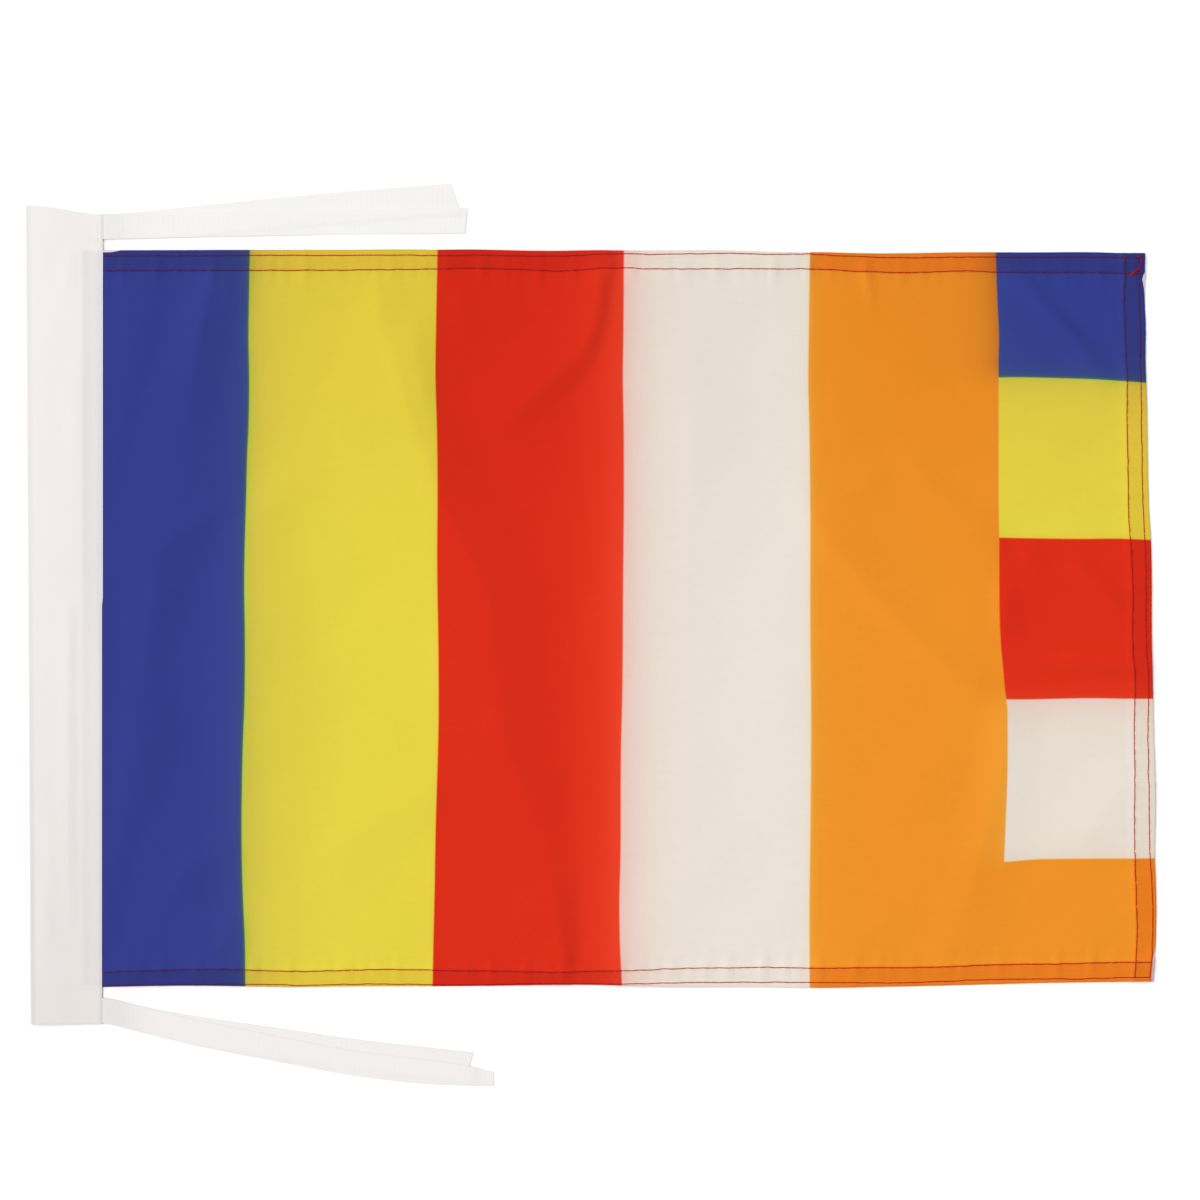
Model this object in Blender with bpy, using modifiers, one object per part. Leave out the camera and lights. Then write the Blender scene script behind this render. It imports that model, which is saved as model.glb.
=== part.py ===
"""Printed flag on a folded heading tape, with two ribbon ties, lying face up.

The cloth is laid out on the flag's own plan: u runs from the heading's edge to the fly,
v from the panel's foot upwards, and z is the height over the floor. Every sheet is a flat
grid bent to its shape and then thickened. An empty carries the plan, so that the middle of
the whole flag's box stands over the origin. Lengths are in metres.
"""
from collections import namedtuple

import bmesh
import bpy
import numpy as np

MM = 0.001

# Cloth, drawn thicker than it is woven, and the gap between two pieces
CLOTH = 1.0 * MM
HEM_CLOTH = 1.6 * MM
GAP = 0.3 * MM
RAISE = CLOTH + GAP

# Panel: printed cloth, hemmed on three sides, its hoist edge tucked into the heading
PANEL_LENGTH = 420.0 * MM
PANEL_HEIGHT = 295.0 * MM
PANEL_TUCK = 5.5 * MM
HEM_WIDTH = 8.5 * MM
HEM_SLOPE = 1.0 * MM
STEP_OFF = 0.8 * MM
STEP_DOWN = 8.5 * MM

# Heading: one tape folded in two, its fold on the hoist side
HEADING_WIDTH_HEAD = 31.3 * MM
HEADING_WIDTH_FOOT = 29.3 * MM
HEADING_HEAD = 309.3 * MM
HEADING_FOOT = -14.9 * MM
HEADING_SLANT = 3.4 * MM
HEADING_TURN = 1.5 * MM
HEADING_SWELL = 0.4 * MM
HEADING_SEAM = 9.0 * MM

# Ties: one ribbon each, folded at its middle, the fold held inside the heading
RIBBON_WIDTH = 10.0 * MM
RIBBON_TUCK = 7.5 * MM
RIBBON_TURN = CLOTH + GAP / 2
RIBBON_LEVEL = 1.7 * MM
RIBBON_FALL = 3.8 * MM

# Opening between the heading's layers: the panel needs one cloth, a tie needs two
PANEL_OPENING = CLOTH + 2 * GAP
TIE_OPENING = 2 * CLOTH + 3 * GAP

# How far an edge of the panel strays outwards from its rectangle, at places along it (mm)
Stray = namedtuple("Stray", "along out")
HEAD_EDGE = (
    Stray(0, 0.1), Stray(88, 0.5), Stray(190, 0.5), Stray(245, 0.1),
    Stray(290, -0.7), Stray(320, -1.1), Stray(420, -1.3),
)
FOOT_EDGE = (
    Stray(0, -0.2), Stray(110, -0.6), Stray(190, -0.7), Stray(245, -0.2),
    Stray(290, 0.2), Stray(320, -0.2), Stray(350, -1.0), Stray(378, -1.8), Stray(420, -2.2),
)
FLY_EDGE = (
    Stray(0, 0.5), Stray(7, 1.3), Stray(30, 2.5), Stray(75, 2.1),
    Stray(122, 0.9), Stray(180, 0.1), Stray(237, -1.5), Stray(295, -2.5),
)

# Soft creases left in the panel: the way each runs over (u, v), its height and half width (mm)
Crease = namedtuple("Crease", "place route rise reach")
CREASES = (
    Crease("blue, from the head", ((38, 284), (27, 246), (10, 214)), 2.2, 14),
    Crease("blue, to the foot", ((50, 190), (27, 174), (15, 110), (6, 48)), 2.0, 13),
    Crease("yellow, from the head", ((110, 286), (121, 256), (131, 220)), 1.6, 13),
    Crease("red, from the head", ((201, 288), (193, 258), (164, 226)), 1.8, 12),
    Crease("middle, to the foot", ((205, 210), (203, 110), (199, 14)), 1.4, 15),
    Crease("orange, across", ((292, 180), (320, 149), (348, 117), (357, 92)), 2.4, 15),
    Crease("orange, to the foot", ((357, 92), (348, 67), (336, 18)), 1.8, 14),
    Crease("orange, upper", ((318, 216), (354, 184)), 1.4, 13),
    Crease("fly column, foot", ((370, 50), (344, 16)), 1.6, 13),
    Crease("fly column, head", ((372, 278), (400, 250)), 1.5, 12),
    Crease("fly column, middle", ((384, 129), (409, 123)), 1.2, 11),
)
ROUTE_SAMPLES = 24

# Ground of the print: upright stripes from the heading out, then the fly column from its head
Stripe = namedtuple("Stripe", "colour end")
STRIPES = (
    Stripe("blue", 58.5 * MM), Stripe("yellow", 134.5 * MM), Stripe("red", 208.2 * MM),
    Stripe("white", 283.3 * MM), Stripe("orange", 359.5 * MM),
)
FLY_CELLS = (
    Stripe("blue", 243.0 * MM), Stripe("yellow", 179.0 * MM), Stripe("red", 115.0 * MM),
    Stripe("white", 51.0 * MM), Stripe("orange", 0.0 * MM),
)
PRINT = {
    "blue": (0.037, 0.051, 0.255),
    "yellow": (0.745, 0.610, 0.058),
    "red": (0.694, 0.028, 0.011),
    "white": (0.815, 0.723, 0.638),
    "orange": (0.831, 0.275, 0.022),
}
TAPE_WHITE = (0.839, 0.807, 0.791)
RIBBON_WHITE = (0.896, 0.880, 0.860)

# Centre line of each ribbon half over (u, v), in mm. The under half leaves from the fold
# first, and the upper half lies on it. The cut is how far an end leans outwards for each
# unit towards the head, and the taper is what the head side loses at a curled end.
Half = namedtuple("Half", "route cut taper")
UPPER_TIE = {
    "under": Half(((-8, 304.2), (0, 304.3), (30, 306.9), (80, 311.9), (141, 316.8)), -0.28, 0.0),
    "upper": Half(((-8, 304.2), (0, 304.3), (30, 305.0), (75, 305.9), (145.5, 306.8)), 0.12, 0.0),
}
LOWER_TIE = {
    "under": Half(
        ((-8, -9.3), (0, -9.6), (16, -13.2), (32, -16.2), (65, -20.9), (97, -25.7), (147, -31.3)),
        0.22, 0.0,
    ),
    "upper": Half(
        ((-8, -9.3), (0, -9.6), (16, -13.4), (35, -17.9), (67, -24.4), (97, -30.2),
         (120, -33.2), (156.5, -35.0)),
        0.0, 4.2 * MM,
    ),
}
TAPER_FROM = 118 * MM
CUT_REACH = 8.0 * MM


def clear_scene():
    """Remove what the start-up file holds."""
    for item in list(bpy.data.objects):
        bpy.data.objects.remove(item, do_unlink=True)


def ease(value):
    """Smooth step: 0 up to 0, 1 from 1 on, and level at both ends."""
    clipped = np.clip(value, 0.0, 1.0)
    return clipped * clipped * (3.0 - 2.0 * clipped)


def grid_lines(*stretches):
    """Places of grid lines through stretches of (start, end, cells), each shared end once."""
    lines = [np.linspace(start, end, cells + 1)[:-1] for start, end, cells in stretches]
    return np.concatenate(lines + [[stretches[-1][1]]])


def smooth_route(route, at):
    """Cubic through a route's points, each point's slope taken from its neighbours."""
    along, across = np.array(route, dtype=float).T * MM
    slopes = np.gradient(across, along)
    cell = np.clip(np.searchsorted(along, at, side="right") - 1, 0, len(along) - 2)
    width = along[cell + 1] - along[cell]
    t = (at - along[cell]) / width
    return (
        (1 + 2 * t) * (1 - t) ** 2 * across[cell]
        + t * (1 - t) ** 2 * width * slopes[cell]
        + t * t * (3 - 2 * t) * across[cell + 1]
        - t * t * (1 - t) * width * slopes[cell + 1]
    )


def stray(table, along):
    """How far an edge lies outside its rectangle, read from its short table."""
    places, outwards = np.array(table, dtype=float).T * MM
    return np.interp(along, places, outwards)


def bent_sheet(name, first, second, shape, thickness, outwards):
    """Flat grid of lines first x second, moved to shape(first, second) and thickened.

    The thickness goes to the side that the grid faces (outwards 1) or behind it (-1).
    """
    columns, rows = len(first) - 1, len(second) - 1
    sheet = bmesh.new()
    bmesh.ops.create_grid(sheet, x_segments=columns, y_segments=rows, size=0.5)
    places = np.array([corner.co[:2] for corner in sheet.verts]) + 0.5
    column, row = np.rint(places * (columns, rows)).astype(int).T
    for corner, place in zip(sheet.verts, shape(first[column], second[row])):
        corner.co = place
    mesh = bpy.data.meshes.new(name)
    sheet.to_mesh(mesh)
    sheet.free()
    piece = bpy.data.objects.new(name, mesh)
    thicken = piece.modifiers.new("cloth", "SOLIDIFY")
    thicken.thickness = thickness
    thicken.offset = outwards
    thicken.use_even_offset = True
    thicken.use_quality_normals = True
    return piece


def cloth_material(name, colour, roughness):
    """Matt woven cloth of one colour."""
    material = bpy.data.materials.new(name)
    material.use_nodes = True
    shader = material.node_tree.nodes["Principled BSDF"]
    shader.inputs["Base Color"].default_value = (*colour, 1.0)
    shader.inputs["Roughness"].default_value = roughness
    shader.inputs["Metallic"].default_value = 0.0
    material.diffuse_color = (*colour, 1.0)
    return material


def step_down(u):
    """Height of what leaves the heading: raised inside it, on the floor a little way out."""
    return RAISE * (1.0 - ease((u - STEP_OFF) / STEP_DOWN))


def ridges(u, v):
    """Height of the soft creases: each is a round ridge along its route that dies away at
    both ends, and where two meet the taller counts."""
    height = np.zeros_like(u)
    for crease in CREASES:
        route = np.array(crease.route, dtype=float) * MM
        lengths = np.linalg.norm(np.diff(route, axis=0), axis=1)
        travelled = np.concatenate(([0.0], np.cumsum(lengths))) / lengths.sum()
        share = np.linspace(0.0, 1.0, ROUTE_SAMPLES)
        sample_u = np.interp(share, travelled, route[:, 0])
        sample_v = np.interp(share, travelled, route[:, 1])
        away = np.hypot(u[:, None] - sample_u, v[:, None] - sample_v) / (crease.reach * MM)
        bump = 0.5 + 0.5 * np.cos(np.pi * np.clip(away, 0.0, 1.0))
        fade = np.sqrt(np.sin(np.pi * np.clip(share, 0.05, 0.95)))
        height = np.maximum(height, crease.rise * MM * (bump * fade).max(axis=1))
    return height


def panel_shape(u, v):
    """Underside of the panel: its uneven outline, the step down from the heading, its creases."""
    out = stray(FLY_EDGE, v) * np.clip(u / PANEL_LENGTH, 0.0, 1.0)
    foot = -stray(FOOT_EDGE, u)
    head = stray(HEAD_EDGE, u)
    across = v + foot + (head - foot) * v / PANEL_HEIGHT
    clear_of_heading = ease((u - STEP_OFF) / STEP_DOWN)
    height = step_down(u) + ridges(u, v) * clear_of_heading
    return np.column_stack((u + out, across, height))


def print_colour(u, v):
    """Colour of the print's ground at a place on the plan."""
    for stripe in STRIPES:
        if u < stripe.end:
            return stripe.colour
    for cell in FLY_CELLS[:-1]:
        if v > cell.end:
            return cell.colour
    return FLY_CELLS[-1].colour


def make_panel():
    """Hemmed, printed panel, one sheet whose hems are thicker than its field."""
    stripe_ends = [stripe.end for stripe in STRIPES]
    fly_hem = PANEL_LENGTH - HEM_WIDTH
    head_hem = PANEL_HEIGHT - HEM_WIDTH
    cell_ends = [cell.end for cell in reversed(FLY_CELLS[:-1])]
    u_lines = grid_lines(
        (-PANEL_TUCK, STEP_OFF, 1),
        (STEP_OFF, STEP_OFF + STEP_DOWN, 3),
        (STEP_OFF + STEP_DOWN, stripe_ends[0], 5),
        *((start, end, 8) for start, end in zip(stripe_ends, stripe_ends[1:])),
        (stripe_ends[-1], fly_hem - HEM_SLOPE, 5),
        (fly_hem - HEM_SLOPE, fly_hem, 1),
        (fly_hem, PANEL_LENGTH, 1),
    )
    v_lines = grid_lines(
        (0.0, HEM_WIDTH, 1),
        (HEM_WIDTH, HEM_WIDTH + HEM_SLOPE, 1),
        (HEM_WIDTH + HEM_SLOPE, cell_ends[0], 4),
        *((start, end, 6) for start, end in zip(cell_ends, cell_ends[1:])),
        (cell_ends[-1], head_hem - HEM_SLOPE, 4),
        (head_hem - HEM_SLOPE, head_hem, 1),
        (head_hem, PANEL_HEIGHT, 1),
    )
    panel = bent_sheet("flag_panel", u_lines, v_lines, panel_shape, HEM_CLOTH, 1)
    mark_hems(panel, fly_hem, head_hem)
    colour_panel(panel)
    return panel


def mark_hems(panel, fly_hem, head_hem):
    """Thin the cloth to one layer everywhere but in the hems and out of the heading."""
    corners = np.array([corner.co[:] for corner in panel.data.vertices])
    u, v = corners[:, 0], corners[:, 1]
    margin = HEM_SLOPE / 2
    foot = v < HEM_WIDTH + stray(FOOT_EDGE, u) * -1 + margin
    head = v > head_hem + stray(HEAD_EDGE, u) - margin
    fly = u > fly_hem + stray(FLY_EDGE, v) - margin
    hemmed = (foot | head | fly) & (u > STEP_OFF + STEP_DOWN - margin)
    group = panel.vertex_groups.new(name="cloth_layers")
    group.add(np.nonzero(hemmed)[0].tolist(), 1.0, "REPLACE")
    group.add(np.nonzero(~hemmed)[0].tolist(), CLOTH / HEM_CLOTH, "REPLACE")
    panel.modifiers["cloth"].vertex_group = group.name


def colour_panel(panel):
    """One material for each colour of the print, given to the faces that it covers."""
    order = list(PRINT)
    for colour in order:
        panel.data.materials.append(cloth_material(f"print_{colour}", PRINT[colour], 0.75))
    for face in panel.data.polygons:
        face.material_index = order.index(print_colour(face.center.x, face.center.y))


def heading_opening(v):
    """Height between the heading's layers: wider at the two ties than along the panel."""
    half = RIBBON_WIDTH / 2
    upper = UPPER_TIE["under"].route[0][1] * MM - half - 2 * GAP
    lower = LOWER_TIE["under"].route[0][1] * MM + half + 2 * GAP
    places = (lower, -2 * GAP, PANEL_HEIGHT + 3 * GAP, upper)
    return np.interp(v, places, (TIE_OPENING, PANEL_OPENING, PANEL_OPENING, TIE_OPENING))


def heading_shape(way, v):
    """Outside of the folded tape: way 0 to 1 under it, 1 to 2 round the fold, 2 to 3 back."""
    share = (v - HEADING_FOOT) / (HEADING_HEAD - HEADING_FOOT)
    width = HEADING_WIDTH_FOOT + (HEADING_WIDTH_HEAD - HEADING_WIDTH_FOOT) * share
    flat = width - HEADING_TURN
    under, turn, back = (np.clip(way - start, 0.0, 1.0) for start in range(3))
    angle = np.pi * turn
    u = -flat * (under - back) - HEADING_TURN * np.sin(angle)
    top = 2 * CLOTH + heading_opening(v)
    climb = ease(flat * back / (flat - HEADING_SEAM))
    swell = HEADING_SWELL * np.sin(np.pi * np.clip(back * 1.2, 0.0, 1.0))
    folded = HEADING_TURN * (1.0 - np.cos(angle))
    height = folded + (top - 2 * HEADING_TURN) * climb + swell
    slant = HEADING_SLANT * share ** 3 * ease(-u / width)
    return np.column_stack((u, v + slant, height))


def make_heading():
    """Tape folded over the hoist edge, open at both ends."""
    way = grid_lines((0, 1, 4), (1, 2, 6), (2, 3, 9))
    half = RIBBON_WIDTH / 2
    lower = LOWER_TIE["under"].route[0][1] * MM + half + 2 * GAP
    upper = UPPER_TIE["under"].route[0][1] * MM - half - 2 * GAP
    v_lines = grid_lines(
        (HEADING_FOOT, lower, 2),
        (lower, -2 * GAP, 1),
        (-2 * GAP, PANEL_HEIGHT + 3 * GAP, 26),
        (PANEL_HEIGHT + 3 * GAP, upper, 1),
        (upper, HEADING_HEAD, 2),
    )
    heading = bent_sheet("heading_sleeve", way, v_lines, heading_shape, CLOTH, -1)
    heading.data.materials.append(cloth_material("heading_tape", TAPE_WHITE, 0.8))
    return heading


def tie_shape(tie):
    """Outside of a ribbon folded at its middle, as a function of way and of the side.

    Way 0 to 1 runs in along the under half, 1 to 2 round the fold and 2 to 3 out along the
    upper half. The upper half rests on the under one and falls to the floor beyond its edge.
    """
    under_end = tie["under"].route[-1][0] * MM
    upper_end = tie["upper"].route[-1][0] * MM
    fold = RIBBON_TURN - RIBBON_TUCK

    def half_at(half, along, side):
        route, cut, taper = half
        end = route[-1][0] * MM
        centre = smooth_route(route, along)
        slope = (smooth_route(route, along + GAP) - smooth_route(route, along - GAP)) / (2 * GAP)
        lean = np.hypot(1.0, slope)
        loss = taper * np.clip((along - TAPER_FROM) / (end - TAPER_FROM), 0.0, 1.0) ** 2
        kept = side - loss * np.clip(side / (RIBBON_WIDTH / 2), 0.0, 1.0)
        reach = cut * side * ease((along - end) / CUT_REACH + 1.0)
        return along + reach - kept * slope / lean, centre + kept / lean

    def shape(way, side):
        inwards, turn, out = (np.clip(way - start, 0.0, 1.0) for start in range(3))
        under_u, under_v = half_at(tie["under"], under_end + (fold - under_end) * inwards, side)
        upper_u, upper_v = half_at(tie["upper"], fold + (upper_end - fold) * out, side)
        angle = np.pi * turn
        on_upper = way > 2.0
        u = np.where(on_upper, upper_u, under_u - RIBBON_TURN * np.sin(angle))
        v = np.where(on_upper, upper_v, under_v)
        edge = smooth_route(tie["under"].route, np.clip(u, fold, under_end)) - RIBBON_WIDTH / 2
        beyond = np.maximum(edge - v, u - under_end)
        laid_over = RAISE * (1.0 - ease((beyond - RIBBON_LEVEL) / RIBBON_FALL))
        folded = RIBBON_TURN * (1.0 - np.cos(angle))
        height = step_down(u) + np.where(on_upper, CLOTH + laid_over, folded)
        return np.column_stack((u, v, height))

    return shape


def make_tie(name, tie):
    """Ribbon folded at its middle with both ends free."""
    way = grid_lines((0, 0.75, 8), (0.75, 1, 8), (1, 2, 4), (2, 2.25, 8), (2.25, 3, 12))
    side = grid_lines((-RIBBON_WIDTH / 2, RIBBON_WIDTH / 2, 5))
    ribbon = bent_sheet(name, way, side, tie_shape(tie), CLOTH, -1)
    ribbon.data.materials.append(cloth_material(name, RIBBON_WHITE, 0.7))
    return ribbon


def box_of(pieces):
    """Lowest and highest corner of the finished pieces."""
    graph = bpy.context.evaluated_depsgraph_get()
    corners = []
    for piece in pieces:
        finished = piece.evaluated_get(graph)
        corners.extend(finished.matrix_world @ corner.co for corner in finished.data.vertices)
    places = np.array(corners)
    return places.min(axis=0), places.max(axis=0)


def build_flag():
    """Make the four pieces and centre the flag's box over the origin."""
    clear_scene()
    flag = bpy.data.collections.new("flag")
    bpy.context.scene.collection.children.link(flag)
    pieces = [
        make_panel(),
        make_heading(),
        make_tie("upper_tie", UPPER_TIE),
        make_tie("lower_tie", LOWER_TIE),
    ]
    plan = bpy.data.objects.new("flag_plan", None)
    flag.objects.link(plan)
    for piece in pieces:
        flag.objects.link(piece)
        piece.parent = plan
    bpy.context.view_layer.update()
    low, high = box_of(pieces)
    plan.location = (-(low[0] + high[0]) / 2, -(low[1] + high[1]) / 2, 0.0)
    bpy.context.view_layer.update()


build_flag()
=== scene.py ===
import bpy
import numpy as np
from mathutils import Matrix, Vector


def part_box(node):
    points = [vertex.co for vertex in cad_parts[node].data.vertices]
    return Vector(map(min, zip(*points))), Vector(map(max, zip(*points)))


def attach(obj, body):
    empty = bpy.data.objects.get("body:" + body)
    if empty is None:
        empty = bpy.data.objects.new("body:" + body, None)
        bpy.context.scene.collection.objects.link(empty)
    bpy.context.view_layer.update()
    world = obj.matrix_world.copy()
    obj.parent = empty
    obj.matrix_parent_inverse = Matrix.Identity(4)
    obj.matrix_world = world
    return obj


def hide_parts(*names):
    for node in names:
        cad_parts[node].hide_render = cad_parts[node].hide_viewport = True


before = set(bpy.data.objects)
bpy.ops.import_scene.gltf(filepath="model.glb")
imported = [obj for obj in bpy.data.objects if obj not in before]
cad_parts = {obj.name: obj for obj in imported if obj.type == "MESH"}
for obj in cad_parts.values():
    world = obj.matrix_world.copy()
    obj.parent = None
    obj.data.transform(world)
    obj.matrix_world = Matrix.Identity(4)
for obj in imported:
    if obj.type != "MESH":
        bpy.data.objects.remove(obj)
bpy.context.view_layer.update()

# The printed panel: one length of thin polyester, dyed through in five upright stripes with
# a column of five fields at the fly. Its head, foot and fly edges are folded under once and
# sewn down, and its bare hoist edge is tucked into the heading.
MM = 0.001
CLOTH = 0.16 * MM
FOLD_RADIUS = 0.11 * MM
PANEL_LENGTH = 420.0 * MM
PANEL_HEIGHT = 295.0 * MM
PANEL_TUCK = 8.0 * MM
HEM_EASE = 1.6 * MM
TUCKED_RAISE = 0.25 * MM
RAISED_MORE = 0.33 * MM
RAISED_FROM = 10.0 * MM
RAISED_OVER = 14.0 * MM
STEP_OFF = 0.6 * MM
STEP_DOWN = 8.5 * MM
FREE_FROM = 20.0 * MM
HEADING_FOOT = -14.9 * MM
PLAN_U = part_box("heading_sleeve")[1].x
PLAN_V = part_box("heading_sleeve")[0].y - HEADING_FOOT

# How far an edge strays outwards from its rectangle, at places along it (mm, mm)
HEAD_EDGE = (
    (0, -0.2), (30, -0.15), (63, -0.05), (99, 0.0), (123, 0.15), (135, 0.05), (147, 0.15),
    (159, -0.05), (171, -0.35), (183, -0.45), (195, -0.25), (219, -0.35), (243, -0.15),
    (255, -0.3), (279, -0.95), (291, -0.95), (303, -1.3), (315, -1.45), (327, -1.35),
    (339, -1.1), (375, -1.05), (400, -1.0), (411, -1.3), (420, -1.3),
)
FOOT_EDGE = (
    (0, 0.15), (15, -0.2), (38, -0.4), (62, -0.05), (75, 0.1), (99, -0.2), (135, -0.2),
    (159, -0.4), (183, -0.75), (195, -0.75), (219, -0.2), (231, 0.05), (255, 0.2), (279, 0.4),
    (291, 0.45), (303, 0.2), (327, -0.25), (351, -0.8), (375, -1.5), (390, -1.75), (420, -2.05),
)
FLY_EDGE = (
    (0, 0.55), (7, 1.1), (12, 1.55), (19, 1.8), (30, 1.9), (43, 1.5), (51, 1.2), (63, 1.35),
    (75, 1.5), (87, 1.25), (99, 0.9), (111, 0.7), (119, 0.5), (123, 0.4), (135, 0.1),
    (171, -0.1), (179, -0.3), (187, -0.8), (211, -1.6), (235, -1.95), (243, -2.2), (251, -2.45),
    (267, -2.4), (273, -2.65), (280, -2.75), (285.5, -2.5), (287.5, -2.7), (295, -2.7),
)

# Width of the bare, unprinted strip along the fly and the head edge, at places along them
BARE_FLY = (
    (0, 0.65), (6, 0.95), (10, 0.7), (14, 0.15), (17, 0.0), (275, 0.0), (279, 0.1), (281.5, 0.4),
    (283.6, 1.0), (285.3, 1.2), (286.6, 0.3), (287.4, 0.0), (295, 0.0),
)
BARE_HEAD = ((0, 0.75), (3, 0.7), (7, 0.0), (420, 0.0))

# The two sewn rows of each hem: their distance in from the edge, at places along it (mm, mm)
HEAD_ROWS = (
    ((0, 2.2), (60, 2.15), (120, 2.25), (138, 2.4), (160, 2.15), (190, 1.9), (206, 1.4),
     (230, 1.5), (258, 1.1), (273, 0.95), (283, 0.7), (292, 1.1), (306, 1.3), (326, 1.8),
     (345, 1.8), (383, 1.9), (403, 1.75), (420, 1.8)),
    ((0, 8.05), (105, 8.05), (124, 7.9), (140, 7.5), (170, 7.6), (186, 8.0), (194, 7.7),
     (206, 7.0), (220, 7.3), (234, 7.5), (263, 7.1), (282, 6.6), (297, 7.0), (311, 7.4),
     (321, 7.7), (345, 7.5), (364, 7.9), (388, 8.1), (420, 8.3)),
)
FOOT_ROWS = (
    ((0, 0.6), (15, 0.4), (40, 0.45), (60, 0.85), (80, 0.65), (120, 0.75), (157, 0.4),
     (170, 0.7), (187, 0.4), (205, 0.5), (215, 0.9), (234, 1.7), (250, 1.9), (297, 1.95),
     (321, 1.4), (350, 1.9), (375, 1.6), (395, 1.35), (408, 1.7), (420, 1.7)),
    ((0, 5.8), (20, 6.05), (40, 6.45), (55, 6.6), (75, 6.2), (100, 6.4), (116, 6.6),
     (140, 6.15), (160, 5.7), (186, 5.1), (200, 5.6), (212, 6.2), (230, 7.3), (245, 7.7),
     (297, 7.8), (331, 7.4), (352, 7.75), (383, 7.5), (408, 7.75), (420, 7.8)),
)
FLY_ROWS = (
    ((0, 1.6), (11, 1.4), (35, 1.5), (50, 1.85), (69, 2.45), (95, 2.5), (108, 2.1), (122, 1.7),
     (132, 2.1), (165, 2.3), (199, 2.35), (240, 2.2), (257, 2.1), (276, 2.4), (295, 2.2)),
    ((0, 7.6), (20, 7.6), (31, 7.9), (50, 7.95), (69, 8.4), (85, 8.1), (103, 7.85), (112, 7.5),
     (122, 7.1), (132, 7.6), (160, 7.6), (180, 8.2), (194, 8.1), (209, 7.9), (230, 8.05),
     (247, 7.65), (261, 8.3), (295, 8.2)),
)
ROW_TO_HEM_END = 0.6 * MM

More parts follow.
